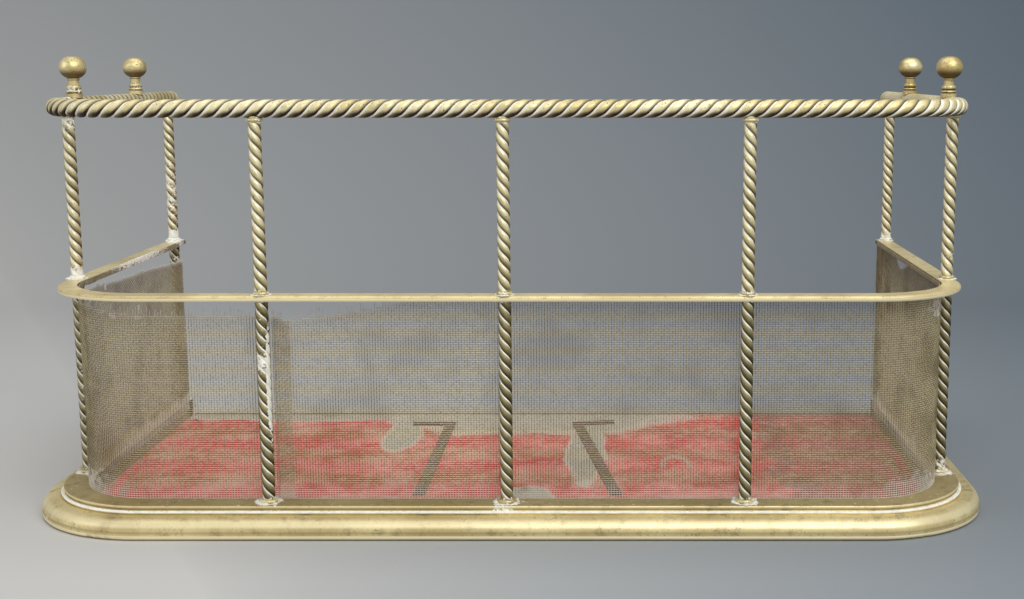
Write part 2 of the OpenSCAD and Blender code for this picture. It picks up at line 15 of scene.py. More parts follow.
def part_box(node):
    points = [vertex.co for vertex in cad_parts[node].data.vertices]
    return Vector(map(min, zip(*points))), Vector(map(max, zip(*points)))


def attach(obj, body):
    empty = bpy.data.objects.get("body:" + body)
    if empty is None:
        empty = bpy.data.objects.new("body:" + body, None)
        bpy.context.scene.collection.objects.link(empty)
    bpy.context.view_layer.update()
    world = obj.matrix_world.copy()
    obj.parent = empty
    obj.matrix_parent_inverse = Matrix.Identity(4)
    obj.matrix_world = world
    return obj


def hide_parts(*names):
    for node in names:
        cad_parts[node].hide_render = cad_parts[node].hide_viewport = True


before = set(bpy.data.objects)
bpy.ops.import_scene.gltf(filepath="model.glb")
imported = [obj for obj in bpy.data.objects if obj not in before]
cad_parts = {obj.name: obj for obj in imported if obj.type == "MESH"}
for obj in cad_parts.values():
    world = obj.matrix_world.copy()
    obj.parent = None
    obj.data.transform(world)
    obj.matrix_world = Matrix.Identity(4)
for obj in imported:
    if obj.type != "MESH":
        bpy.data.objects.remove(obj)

LOG = logging.getLogger("fender")
BODY = "root"
Socket = bpy.types.NodeSocket
Colour = tuple[float, float, float, float]
Place = Callable[[float], tuple[Vector, Vector]]


def colour(text: str) -> Colour:
    """Turns a written colour into the linear one that shaders take.

    Args:
        text: Six hexadecimal digits, red, green and blue.

    Returns:
        Linear red, green and blue, and an alpha of 1.
    """
    parts = [int(text[i:i + 2], 16) / 255 for i in (0, 2, 4)]
    linear = [p / 12.92 if p <= 0.04045 else ((p + 0.055) / 1.055) ** 2.4 for p in parts]
    return (linear[0], linear[1], linear[2], 1.0)


def smooth(value: float, low: float, high: float) -> float:
    """Rises smoothly from 0 at low to 1 at high.

    Args:
        value: The number that is placed between the two.
        low: Where the rise starts.
        high: Where it ends.

    Returns:
        A share from 0 to 1.
    """
    share = min(1.0, max(0.0, (value - low) / (high - low)))
    return share * share * (3 - 2 * share)


class Tree:
    """Adds nodes to one shader tree and joins them."""

    def __init__(self, tree: bpy.types.NodeTree) -> None:
        """Keeps the tree that is worked on.

        Args:
            tree: A material's tree or a group's.
        """
        self.tree = tree

    def node(self, kind: str, values: dict | None = None, **settings: object) -> bpy.types.Node:
        """Makes one node.

        Args:
            kind: The node's type name.
            values: A number, colour or socket for each named or numbered input.
            settings: The node's own settings.

        Returns:
            The new node.
        """
        made = self.tree.nodes.new(kind)
        for name, setting in settings.items():
            setattr(made, name, setting)
        for name, value in (values or {}).items():
            if isinstance(value, Socket):
                self.tree.links.new(value, made.inputs[name])
            else:
                made.inputs[name].default_value = value
        return made

    def math(self, operation: str, *values: float | Socket, **settings: object) -> Socket:
        """Returns the output of a Math node.

        Args:
            operation: The node's operation.
            values: Its inputs in order.
            settings: The node's other settings.

        Returns:
            The output socket.
        """
        inputs = dict(enumerate(values))
        return self.node("ShaderNodeMath", inputs, operation=operation, **settings).outputs[0]

    def band(self, value: Socket, low: float | Socket, high: float | Socket) -> Socket:
        """Returns a smooth rise from 0 to 1.

        Args:
            value: The number that rises.
            low: Where it starts.
            high: Where it ends.

        Returns:
            The output socket.
        """
        values = {"Value": value, "From Min": low, "From Max": high}
        return self.node("ShaderNodeMapRange", values, interpolation_type="SMOOTHSTEP").outputs[0]

    def mix(self, share: float | Socket, first: Colour | Socket, second: Colour | Socket) -> Socket:
        """Returns a mix of two colours.

        Args:
            share: The second colour's share.
            first: The colour at a share of 0.
            second: The colour at a share of 1.

        Returns:
            The colour socket.
        """
        made = self.node("ShaderNodeMix", {0: share, 6: first, 7: second}, data_type="RGBA")
        return made.outputs[2]

    def noise(self, place: Socket, scale: float | Socket, detail: float = 3.0) -> Socket:
        """Returns soft noise.

        Args:
            place: The coordinates that it reads.
            scale: Its scale, in cells a metre.
            detail: How many finer layers it has.

        Returns:
            The value socket, from 0 to 1.
        """
        values = {"Vector": place, "Scale": scale, "Detail": detail, "Roughness": 0.6}
        return self.node("ShaderNodeTexNoise", values).outputs[0]

    def place(self) -> Socket:
        """Returns the piece's own coordinates, in metres."""
        return self.node("ShaderNodeTexCoord").outputs["Object"]

    def attribute(self, name: str) -> Socket:
        """Returns a value that the piece's mesh carries at its points."""
        return self.node("ShaderNodeAttribute", attribute_name=name).outputs["Fac"]


class EffectGroup:
    """A shader effect that several materials use, built once."""

    def __init__(self, name: str, inputs: dict[str, float | Colour], outputs: dict[str, str]) -> None:
        """Makes the group with its named sockets.

        Args:
            name: The group's name.
            inputs: Each input's default, a number or a colour.
            outputs: Each output's socket type.
        """
        self.group = bpy.data.node_groups.new(name, "ShaderNodeTree")
        for title, value in inputs.items():
            kind = "NodeSocketFloat" if isinstance(value, float) else "NodeSocketColor"
            socket = self.group.interface.new_socket(title, in_out="INPUT", socket_type=kind)
            socket.default_value = value
        for title, kind in outputs.items():
            self.group.interface.new_socket(title, in_out="OUTPUT", socket_type=kind)
        self.tree = Tree(self.group)
        self.given = self.tree.node("NodeGroupInput").outputs

    def give(self, values: dict[str, Socket]) -> None:
        """Joins the group's outputs.

        Args:
            values: The socket for each named output.
        """
        self.tree.node("NodeGroupOutput", values)

    def use(self, tree: Tree, values: dict) -> bpy.types.bpy_prop_collection:
        """Places the group in a material.

        Args:
            tree: The material's tree.
            values: A number, colour or socket for each named input.

        Returns:
            The group node's outputs.
        """
        return tree.node("ShaderNodeGroup", values, node_tree=self.group).outputs


class PatinaGroup(EffectGroup):
    """Old brass: worn bright in places, brown in others, with fine pits and dark specks, painted shade on its
    undersides and at set places, and painted highlight at set places.
    """

    def __init__(self) -> None:
        """Builds the group."""
        black = (0.0, 0.0, 0.0, 1.0)
        super().__init__(
            "aged_brass_surface",
            {"Bright": black, "Worn": black, "Dark": black, "Patches": 6.0, "Tarnish": 0.4,
             "Painted Underside Shade": 0.3, "Hollow": 0.0, "Painted Highlight": 0.0},
            {"Colour": "NodeSocketColor", "Roughness": "NodeSocketFloat", "Height": "NodeSocketFloat"},
        )
        tree, given = self.tree, self.given
        place = tree.place()
        patches = tree.noise(place, given["Patches"], 4.0)
        blotches = tree.noise(place, 55.0, 4.0)
        specks = tree.noise(place, 420.0, 2.0)
        normal = tree.node("ShaderNodeSeparateXYZ", {0: tree.node("ShaderNodeTexCoord").outputs["Normal"]})
        # Painted shade: faces that look down are darkened towards the dark tone, standing in for shade under
        # things.
        painted_underside = tree.math("MULTIPLY", tree.band(normal.outputs[2], 0.05, -0.62), given["Painted Underside Shade"])
        shade = tree.mix(tree.band(patches, 0.36, 0.62), given["Worn"], given["Bright"])
        mottle = tree.math("MULTIPLY", tree.band(tree.noise(place, 130.0, 4.0), 0.5, 0.68), 0.28)
        shade = tree.mix(mottle, shade, given["Worn"])
        stain = tree.math("MULTIPLY", tree.band(blotches, 0.5, 0.74), given["Tarnish"])
        shade = tree.mix(tree.math("MAXIMUM", stain, painted_underside), shade, given["Dark"])
        pits = tree.math("MULTIPLY", tree.band(specks, 0.6, 0.68), tree.band(blotches, 0.36, 0.56))
        # Pits, and painted shade from its input, darken towards the dark tone.
        hollow = tree.math("MAXIMUM", tree.math("MULTIPLY", pits, 0.7), given["Hollow"])
        shade = tree.mix(hollow, shade, given["Dark"])
        # Painted highlight: set places are lightened to a pale cream.
        shade = tree.mix(given["Painted Highlight"], shade, colour("fdf0c4"))
        rough = tree.math("MULTIPLY_ADD", blotches, 0.24, 0.27)
        rough = tree.math("MULTIPLY_ADD", tree.math("MAXIMUM", stain, painted_underside), 0.2, rough)
        rough = tree.math("MULTIPLY_ADD", given["Hollow"], 0.4, rough)
        height = tree.math("MULTIPLY_ADD", pits, -0.6, tree.math("MULTIPLY", specks, 0.35))
        height = tree.math("MULTIPLY_ADD", tree.noise(place, 18.0, 1.0), 1.4, height)
        self.give({"Colour": shade, "Roughness": rough, "Height": height})


class CrustGroup(EffectGroup):
    """Dried pale polish and lime, broken up where it is thin."""

    def __init__(self) -> None:
        """Builds the group."""
        super().__init__(
            "dried_polish",
            {"Place": 0.0, "Grain": 260.0},
            {"Mask": "NodeSocketFloat", "Colour": "NodeSocketColor"},
        )
        tree, given = self.tree, self.given
        place = tree.place()
        grain = tree.noise(place, given["Grain"], 3.0)
        low = tree.math("SUBTRACT", 1.02, given["Place"])
        mask = tree.band(grain, low, tree.math("ADD", low, 0.14))
        tint = tree.mix(tree.band(tree.noise(place, 70.0, 2.0), 0.4, 0.65), colour("fdfaee"), colour("eaece0"))
        self.give({"Mask": mask, "Colour": tint})


class ColumnFeetGroup(EffectGroup):
    """How near a point is to the axis of the nearest column."""

    def __init__(self) -> None:
        """Builds the group from where the columns stand."""
        super().__init__("near_a_column", {"Reach": 0.02}, {"Mask": "NodeSocketFloat"})
        tree = self.tree
        split = tree.node("ShaderNodeSeparateXYZ", {0: tree.place()}).outputs
        front, side, rear = (middle(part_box(f"lower_column_{i}")) for i in (3, 6, 7))
        across = tree.math("WRAP", split[0], -front.x / 2, front.x / 2)
        out = tree.math("SUBTRACT", tree.math("ABSOLUTE", split[0]), side.x)
        near = self.reach(across, tree.math("SUBTRACT", split[1], front.y))
        for spot in (side, rear):
            near = tree.math("MINIMUM", near, self.reach(out, tree.math("SUBTRACT", split[1], spot.y)))
        ragged = tree.math("MULTIPLY_ADD", tree.noise(tree.place(), 45.0, 3.0), 0.03, near)
        gap = tree.math("SUBTRACT", ragged, 0.015)
        self.give({"Mask": tree.math("SUBTRACT", 1.0, tree.band(gap, 0.006, self.given["Reach"]))})

    def reach(self, across: Socket, back: Socket) -> Socket:
        """Returns the length of a step given by its two parts."""
        squares = tree_sum(self.tree, across, back)
        return self.tree.math("SQRT", squares)


@dataclass(frozen=True)
class LimeSpot:
    """A place where lime has built up: its centre, its reach along each axis and its strength."""

    centre: tuple[float, float, float]
    reach: tuple[float, float, float]
    strength: float


class LimeGroup(EffectGroup):
    """Lime that has built up in certain places."""

    def __init__(self, name: str, spots: Sequence[LimeSpot]) -> None:
        """Builds the group.

        Args:
            name: The group's name.
            spots: Where the lime is.
        """
        super().__init__(name, {}, {"Place": "NodeSocketFloat"})
        tree, most = self.tree, 0.0
        place = tree.place()
        for spot in spots:
            step = tree.node("ShaderNodeVectorMath", {0: place, 1: spot.centre}, operation="SUBTRACT").outputs[0]
            step = tree.node("ShaderNodeVectorMath", {0: step, 1: spot.reach}, operation="DIVIDE").outputs[0]
            far = tree.node("ShaderNodeVectorMath", {0: step}, operation="LENGTH").outputs["Value"]
            near = tree.math("MULTIPLY", tree.band(far, 1.0, 0.2), spot.strength)
            most = tree.math("MAXIMUM", most, near)
        self.give({"Place": most})


LIMED_JOINTS = (
    LimeSpot((-0.565, -0.132, 0.508), (0.02, 0.02, 0.06), 0.75),
    LimeSpot((-0.565, -0.132, 0.3), (0.026, 0.034, 0.026), 0.78),
    LimeSpot((-0.565, -0.132, 0.15), (0.02, 0.02, 0.24), 0.53),
    LimeSpot((-0.565, 0.282, 0.37), (0.024, 0.024, 0.17), 0.57),
    LimeSpot((-0.565, 0.282, 0.3), (0.026, 0.034, 0.03), 0.85),
    LimeSpot((-0.565, 0.282, 0.26), (0.02, 0.02, 0.06), 0.62),
    LimeSpot((-0.552, 0.075, 0.2915), (0.009, 0.27, 0.012), 0.78),
    LimeSpot((-0.56, 0.27, 0.295), (0.03, 0.05, 0.02), 0.75),
    LimeSpot((-0.285, -0.27, 0.185), (0.0105, 0.016, 0.145), 0.9),
    LimeSpot((-0.294, -0.27, 0.212), (0.02, 0.02, 0.03), 0.66),
    LimeSpot((-0.565, -0.105, 0.537), (0.02, 0.02, 0.018), 0.74),
    LimeSpot((-0.565, 0.137, 0.537), (0.02, 0.02, 0.018), 0.68),
    LimeSpot((-0.294, -0.266, 0.25), (0.02, 0.02, 0.1), 0.52),
    LimeSpot((0.565, 0.282, 0.3), (0.026, 0.026, 0.02), 0.75),
    LimeSpot((0.565, -0.132, 0.045), (0.03, 0.04, 0.03), 0.62),
    LimeSpot((0.565, -0.132, 0.325), (0.02, 0.02, 0.06), 0.52),
)
LIMED_CLOTH = (
    LimeSpot((-0.53, -0.215, 0.03), (0.11, 0.11, 0.07), 0.6),
    LimeSpot((0.5, -0.225, 0.035), (0.13, 0.09, 0.06), 0.64),
    LimeSpot((0.53, -0.19, 0.272), (0.06, 0.07, 0.04), 0.55),
    LimeSpot((-0.545, -0.17, 0.21), (0.03, 0.05, 0.16), 0.5),
    LimeSpot((-0.47, -0.25, 0.27), (0.1, 0.03, 0.02), 0.5),
)


def tree_sum(tree: Tree, first: Socket, second: Socket) -> Socket:
    """Returns the sum of two squares.

    Args:
        tree: The tree that gets the nodes.
        first: The first number.
        second: The second number.

    Returns:
        The output socket.
    """
    return tree.math("MULTIPLY_ADD", first, first, tree.math("MULTIPLY", second, second))


def middle(box: tuple[Vector, Vector]) -> Vector:
    """Returns the centre of a box given by its two corners."""
    return (box[0] + box[1]) / 2


class CrustPlace(Enum):
    """Where dried polish sits on a finish."""

    NONE = 0
    GROOVES = 1
    FEET = 2
    ALL = 3


@dataclass
class Effects:
    """The shader groups that the finishes share."""

    patina: PatinaGroup = field(default_factory=PatinaGroup)
    crust: CrustGroup = field(default_factory=CrustGroup)
    feet: ColumnFeetGroup = field(default_factory=ColumnFeetGroup)
    lime: LimeGroup = field(default_factory=lambda: LimeGroup("limed_joints", LIMED_JOINTS))
    cloth_lime: LimeGroup = field(default_factory=lambda: LimeGroup("limed_cloth", LIMED_CLOTH))


def new_material(name: str) -> tuple[bpy.types.Material, Tree, bpy.types.Node]:
    """Makes a material with an empty tree.

    Args:
        name: The material's name.

    Returns:
        The material, its tree and its Principled node, joined to the output.
    """
    made = bpy.data.materials.new(name)
    made.use_nodes = True
    made.node_tree.nodes.clear()
    tree = Tree(made.node_tree)
    shader = tree.node("ShaderNodeBsdfPrincipled")
    tree.node("ShaderNodeOutputMaterial", {"Surface": shader.outputs[0]})
    return made, tree, shader


@dataclass(frozen=True)
class Band:
    """A stretch of height, how strongly a mask is on there and how soft its edges are."""

    low: float
    high: float
    strength: float
    soft: float = 0.0003


@dataclass(frozen=True)
class AgedBrass:
    """A brass finish: its three tones, how patchy it is, where polish has dried on it, and where shade and
    highlight are painted on.
    """

    name: str
    bright: str
    worn: str
    dark: str
    patches: float = 6.0
    tarnish: float = 0.4
    painted_underside_shade: float = 0.3
    metallic: float = 0.7
    crust: float = 0.5
    crust_place: CrustPlace = CrustPlace.NONE
    reach: float = 0.02
    # Painted shade and painted highlight: bands of height that are darkened or lightened, or on ropes the lower
    # and upper edge of each strand, standing in for light from above.
    painted_shade_bands: tuple[Band, ...] = ()
    limed: tuple[Band, ...] = ()
    painted_highlight_bands: tuple[Band, ...] = ()
    painted_highlight_strength: float = 0.5
    painted_shade_strength: float = 0.6
    shade_from: float = 0.4

    def material(self, effects: Effects) -> bpy.types.Material:
        """Builds the finish.

        Args:
            effects: The shared shader groups.

        Returns:
            The material.
        """
        made, tree, shader = new_material(self.name)
        metal = effects.patina.use(tree, {
            "Bright": colour(self.bright), "Worn": colour(self.worn), "Dark": colour(self.dark),
            "Patches": self.patches, "Tarnish": self.tarnish, "Painted Underside Shade": self.painted_underside_shade,
            "Hollow": self.hollow(tree), "Painted Highlight": self.painted_highlight_mask(tree),
        })
        shade, rough, height = metal["Colour"], metal["Roughness"], metal["Height"]
        crust = effects.crust.use(tree, {"Place": self.spot(effects, tree)})
        shade = tree.mix(crust["Mask"], shade, crust["Colour"])
        rough = tree.math("MULTIPLY_ADD", crust["Mask"], 0.4, rough)
        metallic = tree.math("MULTIPLY_ADD", crust["Mask"], -self.metallic, self.metallic)
        tree.tree.links.new(metallic, shader.inputs["Metallic"])
        height = tree.math("MULTIPLY_ADD", crust["Mask"], 0.8, height)
        bump = tree.node("ShaderNodeBump", {"Height": height, "Strength": 0.35, "Distance": 0.0006})
        tree.tree.links.new(shade, shader.inputs["Base Color"])
        tree.tree.links.new(rough, shader.inputs["Roughness"])
        tree.tree.links.new(bump.outputs[0], shader.inputs["Normal"])
        return made

    def hollow(self, tree: Tree) -> Socket | float:
        """Returns a mask of painted shade: set heights, or one edge of each strand of a rope."""
        if self.crust_place is CrustPlace.GROOVES:
            return tree.math("MULTIPLY", tree.band(tree.attribute("flank"), self.shade_from, 1.0), self.painted_shade_strength)
        return self.at_heights(tree, self.painted_shade_bands)

    def painted_highlight_mask(self, tree: Tree) -> Socket | float:
        """Returns a mask of painted highlight: set heights, or the other edge of each strand."""
        if self.crust_place is CrustPlace.GROOVES:
            return tree.math("MULTIPLY", tree.band(tree.attribute("flank"), 0.62, 0.12), self.painted_highlight_strength)
        return self.at_heights(tree, self.painted_highlight_bands)

    def at_heights(self, tree: Tree, bands: tuple[Band, ...]) -> Socket | float:
        """Makes a mask that is on at certain heights.

        Args:
            tree: The material's tree.
            bands: Where it is on.

        Returns:
            The mask, or 0 without bands.
        """
        mask: Socket | float = 0.0
        height = tree.node("ShaderNodeSeparateXYZ", {0: tree.place()}).outputs[2]
        for band in bands:
            inside = tree.math("MULTIPLY", tree.band(height, band.low - band.soft, band.low + band.soft),
                               tree.band(height, band.high + band.soft, band.high - band.soft))
            mask = tree.math("MAXIMUM", mask, tree.math("MULTIPLY", inside, band.strength))
        return mask

    def spot(self, effects: Effects, tree: Tree) -> Socket:
        """Says how much polish or lime has dried at each point.

        Args:
            effects: The shared shader groups.
            tree: The material's tree.

        Returns:
            A value from 0 to 1.
        """
        lime = tree.math("MAXIMUM", effects.lime.use(tree, {})["Place"], self.at_heights(tree, self.limed))
        if self.crust_place is CrustPlace.GROOVES:
            dried = tree.math("MAXIMUM", tree.math("MULTIPLY", tree.attribute("groove"), self.crust),
                              tree.math("MULTIPLY", tree.attribute("end"), 0.62))
        elif self.crust_place is CrustPlace.FEET:
            near = effects.feet.use(tree, {"Reach": self.reach})["Mask"]
            dried = tree.math("MAXIMUM", tree.math("MULTIPLY", near, self.crust), 0.34)
        elif self.crust_place is CrustPlace.ALL:
            dried = tree.math("MULTIPLY_ADD", tree.noise(tree.place(), 60.0), 0.2, self.crust - 0.1)
        else:
            return lime
        return tree.math("MAXIMUM", dried, lime)


@dataclass(frozen=True)
class OldIron:
    """Painted or bare iron with rust and dust."""

    name: str
    paint: str
    rust: str
    dust: str
    rusted: float = 0.5
    roughness: float = 0.7

    def material(self, effects: Effects) -> bpy.types.Material:
        """Builds the finish.

        Args:
            effects: The shared shader groups.

        Returns:
            The material.
        """
        made, tree, shader = new_material(self.name)
        place = tree.place()
        rust = tree.band(tree.noise(place, 40.0, 5.0), 0.7 - self.rusted * 0.4, 0.95 - self.rusted * 0.4)
        shade = tree.mix(rust, colour(self.paint), colour(self.rust))
        dust = tree.math("MULTIPLY", tree.band(tree.noise(place, 130.0, 3.0), 0.45, 0.7), 0.6)
        shade = tree.mix(dust, shade, colour(self.dust))
        crust = effects.crust.use(tree, {"Place": effects.lime.use(tree, {})["Place"]})
        shade = tree.mix(crust["Mask"], shade, crust["Colour"])
        rough = tree.math("MULTIPLY_ADD", rust, 0.15, self.roughness)
        height = tree.math("MULTIPLY_ADD", rust, 0.6, tree.noise(place, 300.0, 3.0))
        bump = tree.node("ShaderNodeBump", {"Height": height, "Strength": 0.5, "Distance": 0.0005})
        tree.tree.links.new(shade, shader.inputs["Base Color"])
        tree.tree.links.new(rough, shader.inputs["Roughness"])
        tree.tree.links.new(bump.outputs[0], shader.inputs["Normal"])
        return made


@dataclass(frozen=True)
class OxideFloor:
    """Sheet iron painted in red oxide, worn to khaki metal at the back and dusty all over, with a painted shadow
    on its right part.
    """

    name: str = "floor_iron"
    red: str = "cd453d"
    faded: str = "e58d80"
    bare: str = "b5ad9b"
    stain: str = "71584a"
    # The colour of the painted shadow on the right part of the floor.
    shade: str = "a06450"

    def material(self, effects: Effects) -> bpy.types.Material:
        """Builds the finish.

        Args:
            effects: The shared shader groups; not used.

        Returns:
            The material.
        """
        made, tree, shader = new_material(self.name)
        place = tree.place()
        split = tree.node("ShaderNodeSeparateXYZ", {0: place}).outputs
        ragged = tree.noise(place, 9.0, 3.0)
        shade = tree.mix(tree.band(tree.noise(place, 12.0, 4.0), 0.4, 0.64), colour(self.red), colour(self.faded))
        # Painted shadow: past a ragged line to the right, the floor is darkened to the shadow colour.
        brown = tree.math("MULTIPLY_ADD", ragged, 0.14, split[0])
        shade = tree.mix(tree.math("MULTIPLY", tree.band(brown, 0.4, 0.5), 0.75), shade, colour(self.shade))
        reach = self.bare_reach(tree, split, ragged)
        worn = tree.band(reach, 1.02, 0.86)
        shade = tree.mix(worn, shade, colour(self.bare))
        rim = tree.math("MULTIPLY", tree.band(tree.math("ABSOLUTE", tree.math("SUBTRACT", reach, 0.94)), 0.16, 0.02), 0.6)
        shade = tree.mix(rim, shade, colour("d8cebc"))
        stain = tree.math("MULTIPLY", tree.band(tree.noise(place, 28.0, 5.0), 0.58, 0.74), 0.5)
        # A dark stripe in the stain colour runs along the edge of the painted shadow.
        stripe = tree.math("ABSOLUTE", tree.math("SUBTRACT", brown, 0.446))
        stripe = tree.math("MULTIPLY", tree.band(stripe, 0.024, 0.014), 0.5)
        hook = tree.math("ABSOLUTE", tree.math("SUBTRACT", self.far(tree, split, (0.2205, -0.012), (0.019, 0.046)), 1.0))
        hook = tree.math("MULTIPLY", tree.band(hook, 0.26, 0.16), tree.band(split[1], -0.036, -0.016))
        shade = tree.mix(tree.math("MULTIPLY", hook, 0.7), shade, colour(self.bare))
        shade = tree.mix(tree.math("MAXIMUM", stain, stripe), shade, colour(self.stain))
        edge = tree.math("MULTIPLY", tree.band(split[1], -0.19, -0.235), 0.75)
        dust = tree.math("MULTIPLY", tree.band(tree.noise(place, 70.0, 5.0), 0.48, 0.7), 0.4)
        shade = tree.mix(tree.math("MAXIMUM", dust, edge), shade, colour("d9c8bd"))
        # The back edge of the floor is darkened with the stain colour.
        back = tree.math("MULTIPLY", tree.band(split[1], 0.282, 0.292), 0.8)
        shade = tree.mix(back, shade, colour(self.stain))
        rough = tree.math("MULTIPLY_ADD", ragged, 0.2, 0.68)
        height = tree.math("MULTIPLY_ADD", worn, -0.5, tree.noise(place, 160.0, 4.0))
        bump = tree.node("ShaderNodeBump", {"Height": height, "Strength": 0.4, "Distance": 0.0006})
        tree.tree.links.new(shade, shader.inputs["Base Color"])
        tree.tree.links.new(rough, shader.inputs["Roughness"])
        tree.tree.links.new(bump.outputs[0], shader.inputs["Normal"])
        return made

    def bare_reach(self, tree: Tree, split: bpy.types.bpy_prop_collection, ragged: Socket) -> Socket:
        """Measures how far a point is from the worn places, which end at a reach of 1.

        Args:
            tree: The material's tree.
            split: The point's coordinates.
            ragged: Noise that frays the outline.

        Returns:
            The reach of the nearest worn place.
        """
        least: Socket | float = 9.0
        for centre, size in (((0.0, 0.29), (0.24, 0.13)), ((0.092, 0.06), (0.03, 0.17)),
                             ((-0.37, 0.29), (0.2, 0.05)), ((-0.19, 0.15), (0.03, 0.1)),
                             ((0.02, -0.17), (0.035, 0.06))):
            least = tree.math("MINIMUM", least, self.far(tree, split, centre, size))
        return tree.math("MULTIPLY_ADD", ragged, 0.9, tree.math("SUBTRACT", least, 0.45))

    def far(
        self, tree: Tree, split: bpy.types.bpy_prop_collection, centre: tuple[float, float],
        size: tuple[float, float],
    ) -> Socket:
        """Measures how far a point is from a centre, as a share of a size across and back.

        Args:
            tree: The material's tree.
            split: The point's coordinates.
            centre: The centre's place on the floor.
            size: The reach, across and back, that counts as 1.

        Returns:
            The share.
        """
        across = tree.math("DIVIDE", tree.math("SUBTRACT", split[0], centre[0]), size[0])
        back = tree.math("DIVIDE", tree.math("SUBTRACT", split[1], centre[1]), size[1])
        return tree.math("SQRT", tree_sum(tree, across, back))


@dataclass(frozen=True)
class WireBrass:
    """Fine brass wire, dull and greyed, with chalk along the foot and on the torn ends, and painted shade inside
    the tops of the side panels.
    """

    name: str
    clean: str
    grimy: str
    chalk: str = "f1ecdf"

    def material(self, effects: Effects) -> bpy.types.Material:
        """Builds the finish.

        Args:
            effects: The shared shader groups.

        Returns:
            The material.
        """
        made, tree, shader = new_material(self.name)
        place = tree.place()
        split = tree.node("ShaderNodeSeparateXYZ", {0: place}).outputs
        height = split[2]
        grime = tree.band(tree.noise(place, 14.0, 3.0), 0.45, 0.7)
        shade = tree.mix(grime, colour(self.clean), colour(self.grimy))
        fine = tree.noise(place, 260.0, 2.0)
        shade = tree.mix(tree.math("MULTIPLY", tree.band(fine, 0.48, 0.62), 0.6), shade, colour(self.grimy))
        across = split[0]
        side = tree.band(tree.math("ABSOLUTE", across), 0.53, 0.548)
        ahead = tree.math("MULTIPLY", tree.band(across, -0.02, 0.06), tree.band(across, 0.52, 0.44))
        darker = tree.math("MULTIPLY_ADD", tree.band(across, 0.0, -0.5), 0.1, tree.math("MULTIPLY", ahead, 0.3))
        # Painted shade inside the tops of the side panels; the cloth is also darker over the right half of the
        # front and a little towards the left.
        painted_inner_top_shade = tree.math("MULTIPLY", tree.math("MULTIPLY", side, tree.band(height, 0.225, 0.275)), 0.4)
        shade = tree.mix(tree.math("MAXIMUM", darker, painted_inner_top_shade), shade, colour("6f5f47"))
        foot = tree.band(tree.math("MULTIPLY_ADD", tree.noise(place, 24.0, 4.0), 0.06, height), 0.088, 0.07)
        lime = effects.cloth_lime.use(tree, {})["Place"]
        lime = tree.band(tree.math("ADD", lime, tree.noise(place, 110.0, 3.0)), 0.92, 1.08)
        chalk = tree.math("MAXIMUM", tree.math("MULTIPLY", foot, 0.82), lime)
        chalk = tree.math("MAXIMUM", chalk, tree.math("MULTIPLY", tree.attribute("end"), 0.85))
        shade = tree.mix(chalk, shade, colour(self.chalk))
        rough = tree.math("MULTIPLY_ADD", grime, 0.2, 0.42)
        shader.inputs["Metallic"].default_value = 0.3
        bump = tree.node("ShaderNodeBump", {"Height": fine, "Strength": 0.3, "Distance": 0.0002})
        tree.tree.links.new(shade, shader.inputs["Base Color"])
        tree.tree.links.new(rough, shader.inputs["Roughness"])
        tree.tree.links.new(bump.outputs[0], shader.inputs["Normal"])
        return made


@dataclass(frozen=True)
class DriedPolish:
    """Chalky polish that has dried in lumps, with a little green from the brass."""

    name: str = "dried_polish"
    pale: str = "f7f4ea"
    grey: str = "d9d5c6"
    green: str = "a9bdae"

    def material(self, effects: Effects) -> bpy.types.Material:
        """Builds the finish.

        Args:
            effects: The shared shader groups; not used.

        Returns:
            The material.
        """
        made, tree, shader = new_material(self.name)
        place = tree.place()
        grain = tree.noise(place, 300.0, 4.0)
        shade = tree.mix(tree.band(grain, 0.4, 0.62), colour(self.grey), colour(self.pale))
        green = tree.math("MULTIPLY", tree.band(tree.noise(place, 90.0, 3.0), 0.56, 0.7), 0.7)
        shade = tree.mix(green, shade, colour(self.green))
        bump = tree.node("ShaderNodeBump", {"Height": grain, "Strength": 0.7, "Distance": 0.0008})
        shader.inputs["Roughness"].default_value = 0.85
        tree.tree.links.new(shade, shader.inputs["Base Color"])
        tree.tree.links.new(bump.outputs[0], shader.inputs["Normal"])
        return made


